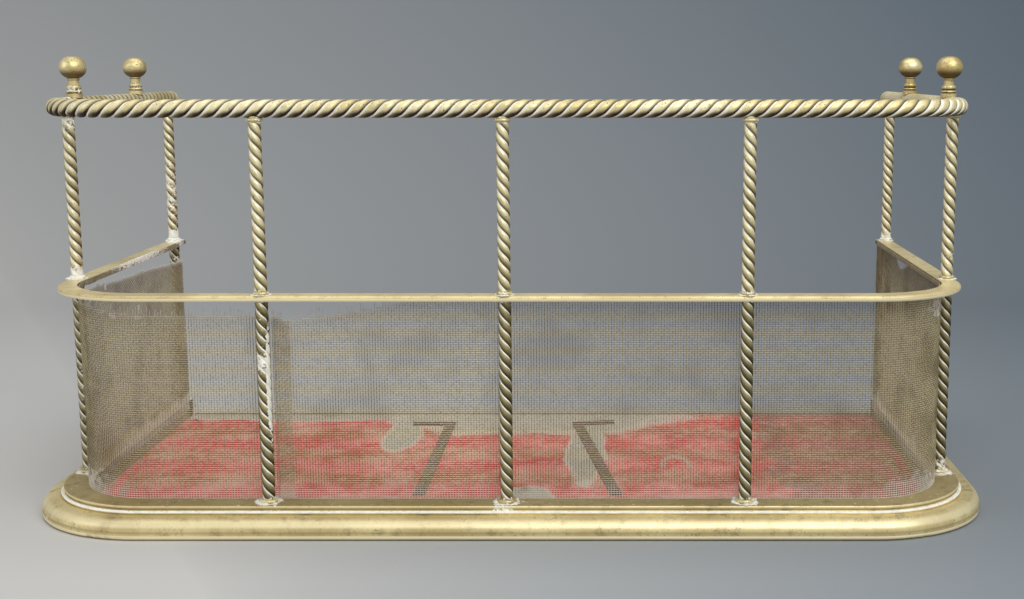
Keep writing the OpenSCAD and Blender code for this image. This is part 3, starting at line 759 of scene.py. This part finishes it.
class Finishes:
    """Every finish of the fender, each under its slot's name."""

    BRASS = (
        # Base: painted shade in the cove, in a band above the foot bead and along the bottom edge; the deck band
        # is partly tarnish and partly painted shade. Painted highlights on the foot bead, the upper torus and the
        # nosing.
        AgedBrass("base_brass", "efdda4", "cdb87f", "6f5c38", 7.0, 0.5, 0.3, metallic=0.4,
                  crust=0.8, crust_place=CrustPlace.FEET, reach=0.036,
                  painted_shade_bands=(Band(0.0, 0.0009, 0.8), Band(0.0088, 0.0115, 0.35, 0.001),
                           Band(0.0299, 0.0323, 0.6), Band(0.0356, 0.04, 0.58)),
                  limed=(Band(0.0268, 0.0297, 0.92), Band(0.0352, 0.037, 0.395)),
                  painted_highlight_bands=(Band(0.0022, 0.0066, 0.85), Band(0.016, 0.0235, 0.55, 0.0018),
                          Band(0.033, 0.0352, 0.5))),
        # Painted highlight along the front lip of the middle rail.
        AgedBrass("mid_brass", "ead9a3", "d1bd8a", "8f7a53", 6.0, 0.4, 0.3, metallic=0.2,
                  crust=0.62, crust_place=CrustPlace.FEET, reach=0.014,
                  painted_highlight_bands=(Band(0.2858, 0.2916, 1.0),)),
        # Rail and columns: painted highlight on the upper edge and painted shade on the lower edge of each
        # strand; the rail is strongly darkened on its underside, painted shade.
        AgedBrass("rail_brass", "faeec0", "dcca90", "2e1d0e", 9.0, 0.3, 1.0, metallic=0.35,
                  crust=0.86, crust_place=CrustPlace.GROOVES, painted_highlight_strength=0.2, painted_shade_strength=0.92, shade_from=0.58),
        AgedBrass("column_brass", "f3e6b0", "b7a873", "352b14", 14.0, 0.4, 0.3, metallic=0.5,
                  crust=0.88, crust_place=CrustPlace.GROOVES, painted_highlight_strength=0.9, painted_shade_strength=0.9, shade_from=0.42),
        # Lower columns: a darker copy of the column brass, painted shade.
        AgedBrass("column_brass_painted_shade", "9f9160", "736841", "1f190a", 14.0, 0.45, 0.3, metallic=0.6,
                  crust=0.92, crust_place=CrustPlace.GROOVES, painted_highlight_strength=0.3, painted_shade_strength=0.85, shade_from=0.42),
        AgedBrass("ring_brass", "eadcaa", "ccbb88", "7a6a48", 20.0, 0.35, 0.3, metallic=0.5,
                  crust=0.47, crust_place=CrustPlace.ALL),
        # Finials: painted shade on the underside and in three thin rings at set heights.
        AgedBrass("finial_brass", "f5e6b0", "cfb97c", "54421f", 22.0, 0.4, 0.9, metallic=0.6,
                  crust=0.3, crust_place=CrustPlace.ALL,
                  painted_shade_bands=(Band(0.5328, 0.5336, 0.7), Band(0.5366, 0.5376, 0.8), Band(0.5518, 0.5528, 0.7))),
    )
    IRON = (
        OldIron("black_iron", "4a423a", "6d5039", "8a8173", 0.45),
        OldIron("strip_iron", "8d8366", "7d6a4e", "b5ac90", 0.5),
        OldIron("strap_iron", "66513f", "6a4d3a", "a08c78", 0.5),
    )
    # The level wires are a lighter copy, painted highlight, and the upright wires a darker copy, painted shade.
    WIRES = (
        WireBrass("level_wire_brass_painted_highlight", "f7edca", "c9bb90"),
        WireBrass("upright_wire_brass_painted_shade", "b3a67f", "71654a"),
    )

    def __init__(self) -> None:
        """Builds all of them."""
        effects = Effects()
        every = (*self.BRASS, *self.IRON, *self.WIRES, OxideFloor(), DriedPolish())
        self.named = {finish.name: finish.material(effects) for finish in every}

    def dress(self, piece: bpy.types.Object, slot: str) -> None:
        """Gives a piece one finish all over.

        Args:
            piece: A new piece or a CAD node.
            slot: The finish's name.
        """
        piece.data.materials.clear()
        piece.data.materials.append(self.named[slot])

    def hand_over(
        self, piece: bpy.types.Object, finish: str, nodes: Sequence[str] = ()
    ) -> None:
        """Dresses a new piece and puts it in the place of its CAD nodes.

        Args:
            piece: The new piece.
            finish: The finish's name.
            nodes: The CAD nodes that it stands for.
        """
        self.dress(piece, finish)
        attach(piece, BODY)
        if nodes:
            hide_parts(*nodes)
        LOG.info("%s: %d faces, finish %s", piece.name, len(piece.data.polygons), finish)


def close_ends(bm: bmesh.types.BMesh) -> None:
    """Closes every open end of a mesh and turns its faces outwards."""
    ends = [edge for edge in bm.edges if edge.is_boundary]
    bmesh.ops.holes_fill(bm, edges=ends, sides=0)
    bmesh.ops.recalc_face_normals(bm, faces=bm.faces)


def finished(bm: bmesh.types.BMesh, name: str) -> bpy.types.Object:
    """Turns a bmesh into a smooth object at the origin.

    Args:
        bm: The mesh, which is used up.
        name: The piece's name.

    Returns:
        The new object.
    """
    mesh = bpy.data.meshes.new(name)
    for face in bm.faces:
        face.smooth = True
    bm.to_mesh(mesh)
    bm.free()
    made = bpy.data.objects.new(name, mesh)
    bpy.context.scene.collection.objects.link(made)
    return made


@dataclass
class FenderLine:
    """The fender's line in plan: straight front, two round corners and two sides.

    Distances along it start at the middle of the front and are negative to the left.
    """

    half: float
    front: float
    radius: float

    @property
    def straight(self) -> float:
        """Half of the straight front run."""
        return self.half - self.radius

    @property
    def corner(self) -> float:
        """Distance at which a corner ends and a side begins."""
        return self.straight + self.radius * math.pi / 2

    def back(self, depth: float) -> float:
        """Returns the distance along the line of a place on a side at that depth."""
        return self.corner + depth - self.front - self.radius

    def at(self, along: float) -> tuple[Vector, Vector]:
        """Finds a place on the line.

        Args:
            along: Distance from the middle of the front.

        Returns:
            The point on the ground and the direction outwards.
        """
        side = -1.0 if along < 0 else 1.0
        far = abs(along)
        if far <= self.straight:
            return Vector((along, self.front, 0)), Vector((0, -1, 0))
        if far <= self.corner:
            turn = (far - self.straight) / self.radius
            out = Vector((side * math.sin(turn), -math.cos(turn), 0))
            hub = Vector((side * self.straight, self.front + self.radius, 0))
            return hub + out * self.radius, out
        depth = self.front + self.radius + far - self.corner
        return Vector((side * self.half, depth, 0)), Vector((side, 0, 0))


@dataclass
class RopeTube:
    """A tube twisted like a rope, with broad round strands and narrow grooves."""

    radius: float
    depth: float
    lead: float
    strands: int = 3
    points: int = 12
    rings: int = 28
    crowding: float = 0.6
    sharpness: float = 2.9
    end_reach: float = 0.012

    def grow(self, length: float, turn: float, hand: int) -> bmesh.types.BMesh:
        """Twists the tube up from the ground plane.

        Args:
            length: How long it gets.
            turn: The angle that its strands start at.
            hand: 1 where they turn anticlockwise on the way up, and -1 clockwise.

        Returns:
            The open tube along +Z. Its points say how near they are to a groove and to an end, and
            where they lie across their strand, from the edge painted with highlight at 0 to the one painted with
            shade at 1.
        """
        bm = bmesh.new()
        groove = bm.verts.layers.float.new("groove")
        flank = bm.verts.layers.float.new("flank")
        count = self.strands * self.points
        ring = bmesh.ops.create_circle(bm, cap_ends=False, radius=self.radius, segments=count)
        for vert in ring["verts"]:
            strand = math.atan2(vert.co.y, vert.co.x) / math.tau * self.strands
            crest = round(strand)
            share = abs(2 * (strand - crest)) ** self.crowding
            side = math.copysign(share, strand - crest)
            angle = (crest + side / 2) * math.tau / self.strands
            reach = self.radius - self.depth * share ** self.sharpness
            valley = share > 0.999
            vert[groove] = 1.0 if valley else smooth(side, 0.61, 0.8)
            vert[flank] = 0.0 if valley else 0.5 - side / 2
            vert.co = Vector((reach * math.cos(angle), reach * math.sin(angle), 0))
        bmesh.ops.rotate(bm, verts=bm.verts, cent=(0, 0, 0), matrix=Matrix.Rotation(turn, 3, "Z"))
        steps = max(2, round(length / self.lead * self.rings))
        bmesh.ops.spin(
            bm, geom=bm.edges[:], cent=(0, 0, 0), axis=(0, 0, 1), dvec=(0, 0, length / steps),
            angle=hand * math.tau * length / self.lead, steps=steps, use_merge=False,
            use_normal_flip=False, use_duplicate=False,
        )
        end = bm.verts.layers.float.new("end")
        for vert in bm.verts:
            near = min(vert.co.z, length - vert.co.z)
            vert[end] = 1 - smooth(near, 0.0, self.end_reach * (0.6 + 0.8 * noise.noise(vert.co * 300) ** 2))
        return bm


class Columns:
    """The seven twisted columns, each in a lower and an upper length."""

    COUNT = 7
    TUBE = RopeTube(radius=0.008, depth=0.0018, lead=0.0415)

    def build(self, finishes: Finishes) -> None:
        """Builds and dresses every length.

        Args:
            finishes: The fender's finishes.
        """
        for number in range(1, self.COUNT + 1):
            for part in ("lower", "upper"):
                node = f"{part}_column_{number}"
                low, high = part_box(node)
                bm = self.TUBE.grow(high.z - low.z, number * 1.1, -1)
                foot = Vector(((low.x + high.x) / 2, (low.y + high.y) / 2, low.z))
                bmesh.ops.translate(bm, verts=bm.verts, vec=foot)
                close_ends(bm)
                # The lower lengths take the darker copy of the column brass, which is painted shade.
                finish = "column_brass" if part == "upper" else "column_brass_painted_shade"
                finishes.hand_over(finished(bm, f"{node}_rope"), finish, [node])


class TopRail:
    """The twisted top rail in its three lengths."""

    TUBE = RopeTube(radius=0.011, depth=0.0024, lead=0.051, end_reach=0.004)

    def __init__(self, radius: float) -> None:
        """Reads the rail's line from its CAD nodes.

        Args:
            radius: Plan radius of the corners on the column line.
        """
        low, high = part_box("top_rail_front")
        self.height = (low.z + high.z) / 2
        self.line = FenderLine(high.x - self.TUBE.radius, low.y + self.TUBE.radius, radius)
        self.joint = self.line.back(high.y)
        self.end = self.line.back(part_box("top_rail_left")[1].y)

    def build(self, finishes: Finishes) -> None:
        """Builds and dresses the three lengths.

        Args:
            finishes: The fender's finishes.
        """
        runs = {
            "top_rail_left": (-self.end, -self.joint),
            "top_rail_front": (-self.joint, self.joint),
            "top_rail_right": (self.joint, self.end),
        }
        for node, (start, stop) in runs.items():
            bm = self.TUBE.grow(stop - start, math.tau * start / self.TUBE.lead, 1)
            for vert in bm.verts:
                point, out = self.line.at(start + vert.co.z)
                vert.co = point + out * vert.co.x + Vector((0, 0, self.height + vert.co.y))
            close_ends(bm)
            finishes.hand_over(finished(bm, f"{node}_rope"), "rail_brass", [node])


@dataclass
class ClothPanel:
    """One length of the wire cloth between two distances along its line."""

    node: str
    start: float
    stop: float


@dataclass
class WireCloth:
    """The woven wire guard, bent round the corners, frayed along the top and torn in places."""

    line: FenderLine
    low: float
    high: float
    pitch: float = 0.0034
    rise: float = 0.0028
    wire: float = 0.00043
    lift: float = 0.0003
    sides: int = 3
    torn_top: tuple[tuple[float, float], ...] = (
        (-1.032, 0.264), (-0.98, 0.266), (-0.92, 0.27), (-0.855, 0.274), (-0.79, 0.275),
        (-0.735, 0.277), (-0.66, 0.282), (-0.62, 0.281), (-0.53, 0.276), (-0.45, 0.268),
        (-0.384, 0.266), (-0.335, 0.267), (-0.296, 0.267), (-0.262, 0.262), (-0.226, 0.266),
        (-0.189, 0.272), (-0.152, 0.278), (-0.128, 0.283), (-0.11, 0.3), (0.79, 0.3),
        (0.81, 0.287), (0.84, 0.281), (0.86, 0.279), (0.88, 0.286), (0.89, 0.3), (1.04, 0.3),
    )
    holes: tuple[tuple[float, float, float], ...] = ((-0.689, 0.276, 0.004), (-0.816, 0.224, 0.0045))

    def top(self, along: float) -> float:
        """Returns the height of the cloth's torn top at a distance along its line."""
        for (a, low), (b, high) in zip(self.torn_top, self.torn_top[1:]):
            if a <= along <= b:
                return low + (high - low) * (along - a) / (b - a)
        return self.high

    def gone(self, along: float, height: float, fringe: float) -> bool:
        """Says whether the cloth is missing at a place.

        Args:
            along: Distance along the line.
            height: Height above the ground.
            fringe: How far a wire stands above the torn top.

        Returns:
            True where nothing is left.
        """
        if height > self.top(along) + fringe:
            return True
        return any(math.hypot(along - x, height - z) < r for x, z, r in self.holes)

    def wires(self, count: int, crossings: int, first: int, up: bool) -> bmesh.types.BMesh:
        """Lays parallel wires that weave over and under.

        Args:
            count: How many wires.
            crossings: How many wires each of them crosses.
            first: Number of the first wire, which says whether it starts over or under.
            up: True for upright wires, False for level ones.

        Returns:
            The wires side by side from the origin, upright ones along +Z.
        """
        bm = bmesh.new()
        step, gap = (self.rise, self.pitch) if up else (self.pitch, self.rise)
        for phase in (0, 1):
            ring = bmesh.ops.create_circle(bm, cap_ends=False, radius=self.wire, segments=self.sides)
            edges = list({edge for vert in ring["verts"] for edge in vert.link_edges})
            bmesh.ops.spin(
                bm, geom=edges, cent=(0, 0, 0), axis=(0, 0, 1), dvec=(0, 0, step), angle=0.0,
                steps=crossings, use_merge=False, use_normal_flip=False, use_duplicate=False,
            )
            new = [vert for vert in bm.verts if not vert.tag]
            for vert in new:
                level = round(vert.co.z / step)
                over = (level + phase + first + (0 if up else 1)) % 2
                vert.co += Vector((phase * gap, self.lift if over else -self.lift, 0))
                vert.tag = True
        if count > 2:
            bmesh.ops.spin(
                bm, geom=bm.faces[:], cent=(0, 0, 0), axis=(0, 0, 1), dvec=(2 * gap, 0, 0),
                angle=0.0, steps=(count - 1) // 2, use_merge=False, use_normal_flip=False,
                use_duplicate=True,
            )
        if count % 2:
            edge_of_cloth = (count - 0.5) * gap
            extra = [vert for vert in bm.verts if vert.co.x > edge_of_cloth]
            bmesh.ops.delete(bm, geom=extra, context="VERTS")
        if not up:
            swap = Matrix(((0, 0, 1, 0), (0, 1, 0, 0), (1, 0, 0, 0), (0, 0, 0, 1)))
            bmesh.ops.transform(bm, matrix=swap, verts=bm.verts)
        return bm

    def panel(self, panel: ClothPanel, up: bool, shift: float = 0.0) -> bmesh.types.BMesh:
        """Makes the upright or the level wires of one panel.

        Args:
            panel: The panel's place.
            up: True for the upright wires.
            shift: How far this layer lies inside the first one.

        Returns:
            The wires in place.
        """
        j0, j1 = math.ceil(panel.start / self.pitch), math.ceil(panel.stop / self.pitch)
        rows = int((self.high - self.low) / self.rise)
        bm = self.wires(j1 - j0, rows, j0, True) if up else self.wires(rows + 1, j1 - j0, j0, False)
        end = bm.verts.layers.float.new("end")
        offset = Vector((j0 * self.pitch + shift, 0, self.low + 0.5 * self.wire + shift))
        bmesh.ops.translate(bm, verts=bm.verts, vec=offset)
        longest = 0.012 if abs(panel.start + panel.stop) < 2 * self.line.corner else 0.004
        fringes = {j: random.Random(j * 7 + 1).uniform(-0.001, longest) for j in range(j0 - 1, j1 + 2)}
        lost = []
        for vert in bm.verts:
            along, height = vert.co.x, vert.co.z
            fringe = fringes[min(max(round(along / self.pitch), j0 - 1), j1 + 1)] if up else 0.0
            if self.gone(along, height, fringe):
                lost.append(vert)
                continue
            vert[end] = smooth(height, self.top(along) - 0.006, self.top(along) + 0.002)
            vert.co = self.bent(along, vert.co.y - shift, height, fringe)
        bmesh.ops.delete(bm, geom=lost, context="VERTS")
        close_ends(bm)
        return bm

    def bent(self, along: float, out: float, height: float, fringe: float) -> Vector:
        """Puts a point of the flat cloth in its place round the fender.

        Args:
            along: Distance along the line.
            out: How far it stands out of the cloth.
            height: Height above the ground.
            fringe: How far the wire stands above the torn top.

        Returns:
            The point.
        """
        point, outward = self.line.at(along)
        held = smooth(height, self.low + 0.012, self.low + 0.07)
        held *= 1 - smooth(height, self.high - 0.06, self.high - 0.012)
        bulge = 0.0016 * held * noise.noise(Vector((along * 11, height * 13, 0.4)))
        loose = max(0.0, height - self.top(along) + 0.004)
        curl = min(0.003, loose * loose * 40) * (1 if fringe > 0.004 else -0.5)
        return point + outward * (out + bulge - abs(curl)) + Vector((0, 0, height))

    def finish(self, up: bool) -> str:
        """Names the finish of one layer: a darker copy, painted shade, for the upright wires and a lighter copy,
        painted highlight, for the level wires.
        """
        return "upright_wire_brass_painted_shade" if up else "level_wire_brass_painted_highlight"

    def build(self, finishes: Finishes) -> None:
        """Builds and dresses the guard's panels.

        Args:
            finishes: The fender's finishes.
        """
        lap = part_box("guard_front_right")[0].x
        side = self.line.back(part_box("guard_left")[1].y)
        panels = (
            ClothPanel("guard_left", -side, -self.line.corner),
            ClothPanel("guard_corner_left", -self.line.corner, -self.line.straight),
            ClothPanel("guard_front_left", -self.line.straight, lap),
            ClothPanel("guard_front_right", lap, self.line.straight),
            ClothPanel("guard_corner_right", self.line.straight, self.line.corner),
            ClothPanel("guard_right", self.line.corner, side),
        )
        for panel in panels:
            for up, name in ((True, "upright_wires"), (False, "level_wires")):
                bm = self.panel(panel, up)
                piece = finished(bm, f"{panel.node}_{name}")
                finishes.hand_over(piece, self.finish(up), [panel.node])
        doubled = {
            "lap": ClothPanel("lap", lap, lap + 0.02),
            "hem_left": ClothPanel("hem_left", -side, -side + 0.044),
            "hem_right": ClothPanel("hem_right", side - 0.044, side),
        }
        for title, panel in doubled.items():
            for up, name in ((True, "upright_wires"), (False, "level_wires")):
                bm = self.panel(panel, up, shift=0.0016)
                finishes.hand_over(finished(bm, f"guard_{title}_{name}"), self.finish(up))


@dataclass(frozen=True)
class Collar:
    """Where a lumpy ring of dried polish lies: its centre, and how wide and high it is."""

    centre: Vector
    reach: float
    width: float
    height: float


class PolishCollars:
    """Dried polish that nobody wiped off, round the rings of the columns."""

    STEPS = 56
    HEAVY = {"foot": (1, 2, 3, 4, 6), "middle": (4, 5)}

    def places(self, level: str) -> list[Collar]:
        """Lists the collars of one level.

        Args:
            level: The foot or the middle rings.

        Returns:
            A collar for each column.
        """
        heavy, made = self.HEAVY[level], []
        for number in range(1, Columns.COUNT + 1):
            low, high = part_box(f"lower_column_{number}" if level == "foot" else f"upper_column_{number}")
            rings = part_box("foot_rings" if level == "foot" else "mid_rings")
            reach = 0.0135 if level == "foot" else 0.0104
            thick = 1.7 if number in heavy else 1.0
            centre = Vector(((low.x + high.x) / 2, (low.y + high.y) / 2, rings[0].z))
            made.append(Collar(centre, reach, 0.0024 * thick, 0.0012 * thick))
        return made

    def collar(self, bm: bmesh.types.BMesh, collar: Collar) -> None:
        """Adds one collar to a mesh.

        Args:
            bm: The mesh.
            collar: The collar's place and size.
        """
        old = set(bm.verts)
        ring = bmesh.ops.create_circle(bm, cap_ends=False, radius=1.0, segments=10)["verts"]
        bmesh.ops.rotate(bm, verts=ring, cent=(0, 0, 0), matrix=Matrix.Rotation(math.pi / 2, 3, "X"))
        bmesh.ops.translate(bm, verts=ring, vec=(10, 0, 0))
        edges = list({edge for vert in ring for edge in vert.link_edges})
        bmesh.ops.spin(
            bm, geom=edges, cent=(0, 0, 0), axis=(0, 0, 1), dvec=(0, 0, 0), angle=math.tau,
            steps=self.STEPS, use_merge=True, use_normal_flip=False, use_duplicate=False,
        )
        for vert in (v for v in bm.verts if v not in old):
            turn = math.atan2(vert.co.y, vert.co.x)
            across, up = math.hypot(vert.co.x, vert.co.y) - 10, vert.co.z
            out = Vector((math.cos(turn), math.sin(turn), 0))
            swell = 0.75 + 1.1 * noise.noise(collar.centre * 40 + out * 2.2)
            fine = 1 + 0.35 * noise.noise(collar.centre * 50 + out * 9 + Vector((0, 0, up)))
            size = max(0.12, swell) * fine
            spot = out * (collar.reach + across * collar.width * size)
            vert.co = collar.centre + spot + Vector((0, 0, max(0.0, up * collar.height * size)))

    def build(self, finishes: Finishes) -> None:
        """Builds and dresses the collars of both levels.

        Args:
            finishes: The fender's finishes.
        """
        for level in ("foot", "middle"):
            bm = bmesh.new()
            for collar in self.places(level):
                self.collar(bm, collar)
            bmesh.ops.recalc_face_normals(bm, faces=bm.faces)
            finishes.hand_over(finished(bm, f"dried_polish_{level}"), DriedPolish.name)


class Frame:
    """The CAD nodes that stay, and the finish of each."""

    SLOTS = {
        "base_brass": ("base_moulding_front", "base_moulding_corners", "base_moulding_left",
                       "base_moulding_right"),
        "mid_brass": ("mid_rail_front", "mid_rail_left", "mid_rail_right"),
        "rail_brass": ("rail_end_plugs",),
        "ring_brass": ("foot_rings", "mid_rings", "top_rings"),
        "finial_brass": ("finial_left_front", "finial_left_rear", "finial_right_front",
                         "finial_right_rear"),
        "black_iron": ("base_frame_front", "base_frame_corners", "base_frame_left",
                       "base_frame_right", "mid_bar_front", "mid_bar_left", "mid_bar_right",
                       "joint_plates", "tie_rods", "foot_nuts", "rail_nuts", "rail_spigots"),
        "strip_iron": ("guard_strip_low", "guard_strip_high"),
        "strap_iron": ("strap_left", "strap_right", "strap_rivets", "floor_rivets"),
        "floor_iron": ("floor_plate",),
    }

    def build(self, finishes: Finishes) -> None:
        """Dresses every node that stays.

        Args:
            finishes: The fender's finishes.
        """
        for slot, nodes in self.SLOTS.items():
            for node in nodes:
                finishes.dress(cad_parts[node], slot)
            LOG.info("%s on %s", slot, ", ".join(nodes))


@dataclass
class Studio:
    """Pale floor that curves up into a grey backdrop painted darker, as shade, upwards and to the right, soft
    lamps and the camera.
    """

    eye: Vector = field(default_factory=lambda: Vector((0.1283, -1.9653, 0.5656)))
    pitch: float = 9.238
    lens: float = 50.09
    shift: float = -0.0964
    half_width: float = 6.0
    front: float = -5.0
    back: float = 1.4
    cove: float = 1.5
    height: float = 5.0

    def backdrop(self) -> None:
        """Builds the floor and backdrop in one sheet."""
        bm = bmesh.new()
        start = bm.verts.new((-self.half_width, self.front, 0))
        end = bm.verts.new((-self.half_width, self.back, 0))
        bm.edges.new((start, end))
        hub = (-self.half_width, self.back, self.cove)
        curve = bmesh.ops.spin(
            bm, geom=[end], cent=hub, axis=(1, 0, 0), dvec=(0, 0, 0), angle=math.pi / 2, steps=24,
            use_merge=False, use_normal_flip=False, use_duplicate=False,
        )
        top = [item for item in curve["geom_last"] if isinstance(item, bmesh.types.BMVert)]
        wall = bmesh.ops.extrude_vert_indiv(bm, verts=top)
        bmesh.ops.translate(bm, verts=wall["verts"], vec=(0, 0, self.height))
        sheet = bmesh.ops.extrude_edge_only(bm, edges=bm.edges[:])
        across = [item for item in sheet["geom"] if isinstance(item, bmesh.types.BMVert)]
        bmesh.ops.translate(bm, verts=across, vec=(2 * self.half_width, 0, 0))
        bmesh.ops.recalc_face_normals(bm, faces=bm.faces)
        piece = finished(bm, "studio_floor")
        made, tree, shader = new_material("studio_paper")
        split = tree.node("ShaderNodeSeparateXYZ", {0: tree.place()}).outputs
        # Painted shade: the paper darkens from pale grey to blue-grey up the backdrop and towards the right, and
        # stays pale near the front.
        away = tree.math("MAXIMUM", tree.math("ADD", split[1], 2.1), 1.1)
        fan = tree.math("MINIMUM", tree.math("DIVIDE", split[0], away), 0.4)
        rise = tree.math("DIVIDE", tree.math("SUBTRACT", split[2], 0.55), away)
        level = tree.math("MULTIPLY_ADD", fan, 0.94, tree.math("MULTIPLY", rise, 0.87))
        share = tree.math("POWER", tree.math("ADD", level, 0.48, use_clamp=True), 0.6)
        share = tree.math("MULTIPLY", share, tree.band(split[1], -1.3, -0.62))
        shade = tree.mix(share, colour("c6c5c2"), colour("566775"))
        tree.tree.links.new(shade, shader.inputs["Base Color"])
        shader.inputs["Roughness"].default_value = 0.95
        shader.inputs["Specular IOR Level"].default_value = 0.1
        piece.data.materials.append(made)

    def lamp(self, name: str, place: Sequence[float], size: tuple[float, float], power: float) -> None:
        """Hangs one soft lamp that points at the fender.

        Args:
            name: The lamp's name.
            place: Where it hangs.
            size: Its width and height.
            power: Its power in watts.
        """
        data = bpy.data.lights.new(name, "AREA")
        data.shape = "RECTANGLE"
        data.size, data.size_y = size
        data.energy = power
        made = bpy.data.objects.new(name, data)
        made.location = place
        made.rotation_euler = (Vector((0, 0, 0.2)) - Vector(place)).to_track_quat("-Z", "Y").to_euler()
        bpy.context.scene.collection.objects.link(made)

    def lamps(self) -> None:
        """Hangs the lamps and sets the even light of the room."""
        self.lamp("key_lamp", (1.2, -2.6, 2.8), (3.6, 2.6), 95)
        self.lamp("fill_lamp", (-2.8, -1.6, 1.6), (2.0, 2.0), 13)
        self.lamp("top_lamp", (0.0, 0.1, 3.0), (3.4, 2.2), 30)
        world = bpy.data.worlds.new("studio_air")
        world.use_nodes = True
        world.node_tree.nodes["Background"].inputs["Color"].default_value = (0.97, 0.98, 1.0, 1.0)
        world.node_tree.nodes["Background"].inputs["Strength"].default_value = 0.4
        bpy.context.scene.world = world

    def camera(self) -> None:
        """Sets the camera at the photograph's place."""
        data = bpy.data.cameras.new("camera")
        data.lens = self.lens
        data.sensor_width = 36.0
        data.shift_x = self.shift
        made = bpy.data.objects.new("camera", data)
        made.location = self.eye
        made.rotation_euler = (math.radians(90 - self.pitch), 0, 0)
        bpy.context.scene.collection.objects.link(made)
        bpy.context.scene.camera = made

    def build(self) -> None:
        """Sets up the whole studio."""
        bpy.context.scene.view_settings.view_transform = "Standard"
        self.camera()
        self.lamps()
        self.backdrop()


def main() -> None:
    """Builds the studio and the fender's looks in order."""
    logging.basicConfig(level=logging.INFO, format="%(message)s", stream=sys.stdout)
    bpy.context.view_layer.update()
    Studio().build()
    finishes = Finishes()
    Frame().build(finishes)
    Columns().build(finishes)
    TopRail(radius=0.115).build(finishes)
    low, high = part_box("guard_right")
    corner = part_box("guard_corner_right")
    cloth_line = FenderLine((low.x + high.x) / 2, corner[0].y + 0.0006, (low.x + high.x) / 2 - corner[0].x)
    WireCloth(cloth_line, low.z, high.z).build(finishes)
    PolishCollars().build(finishes)


if __name__ == "__main__":
    main()
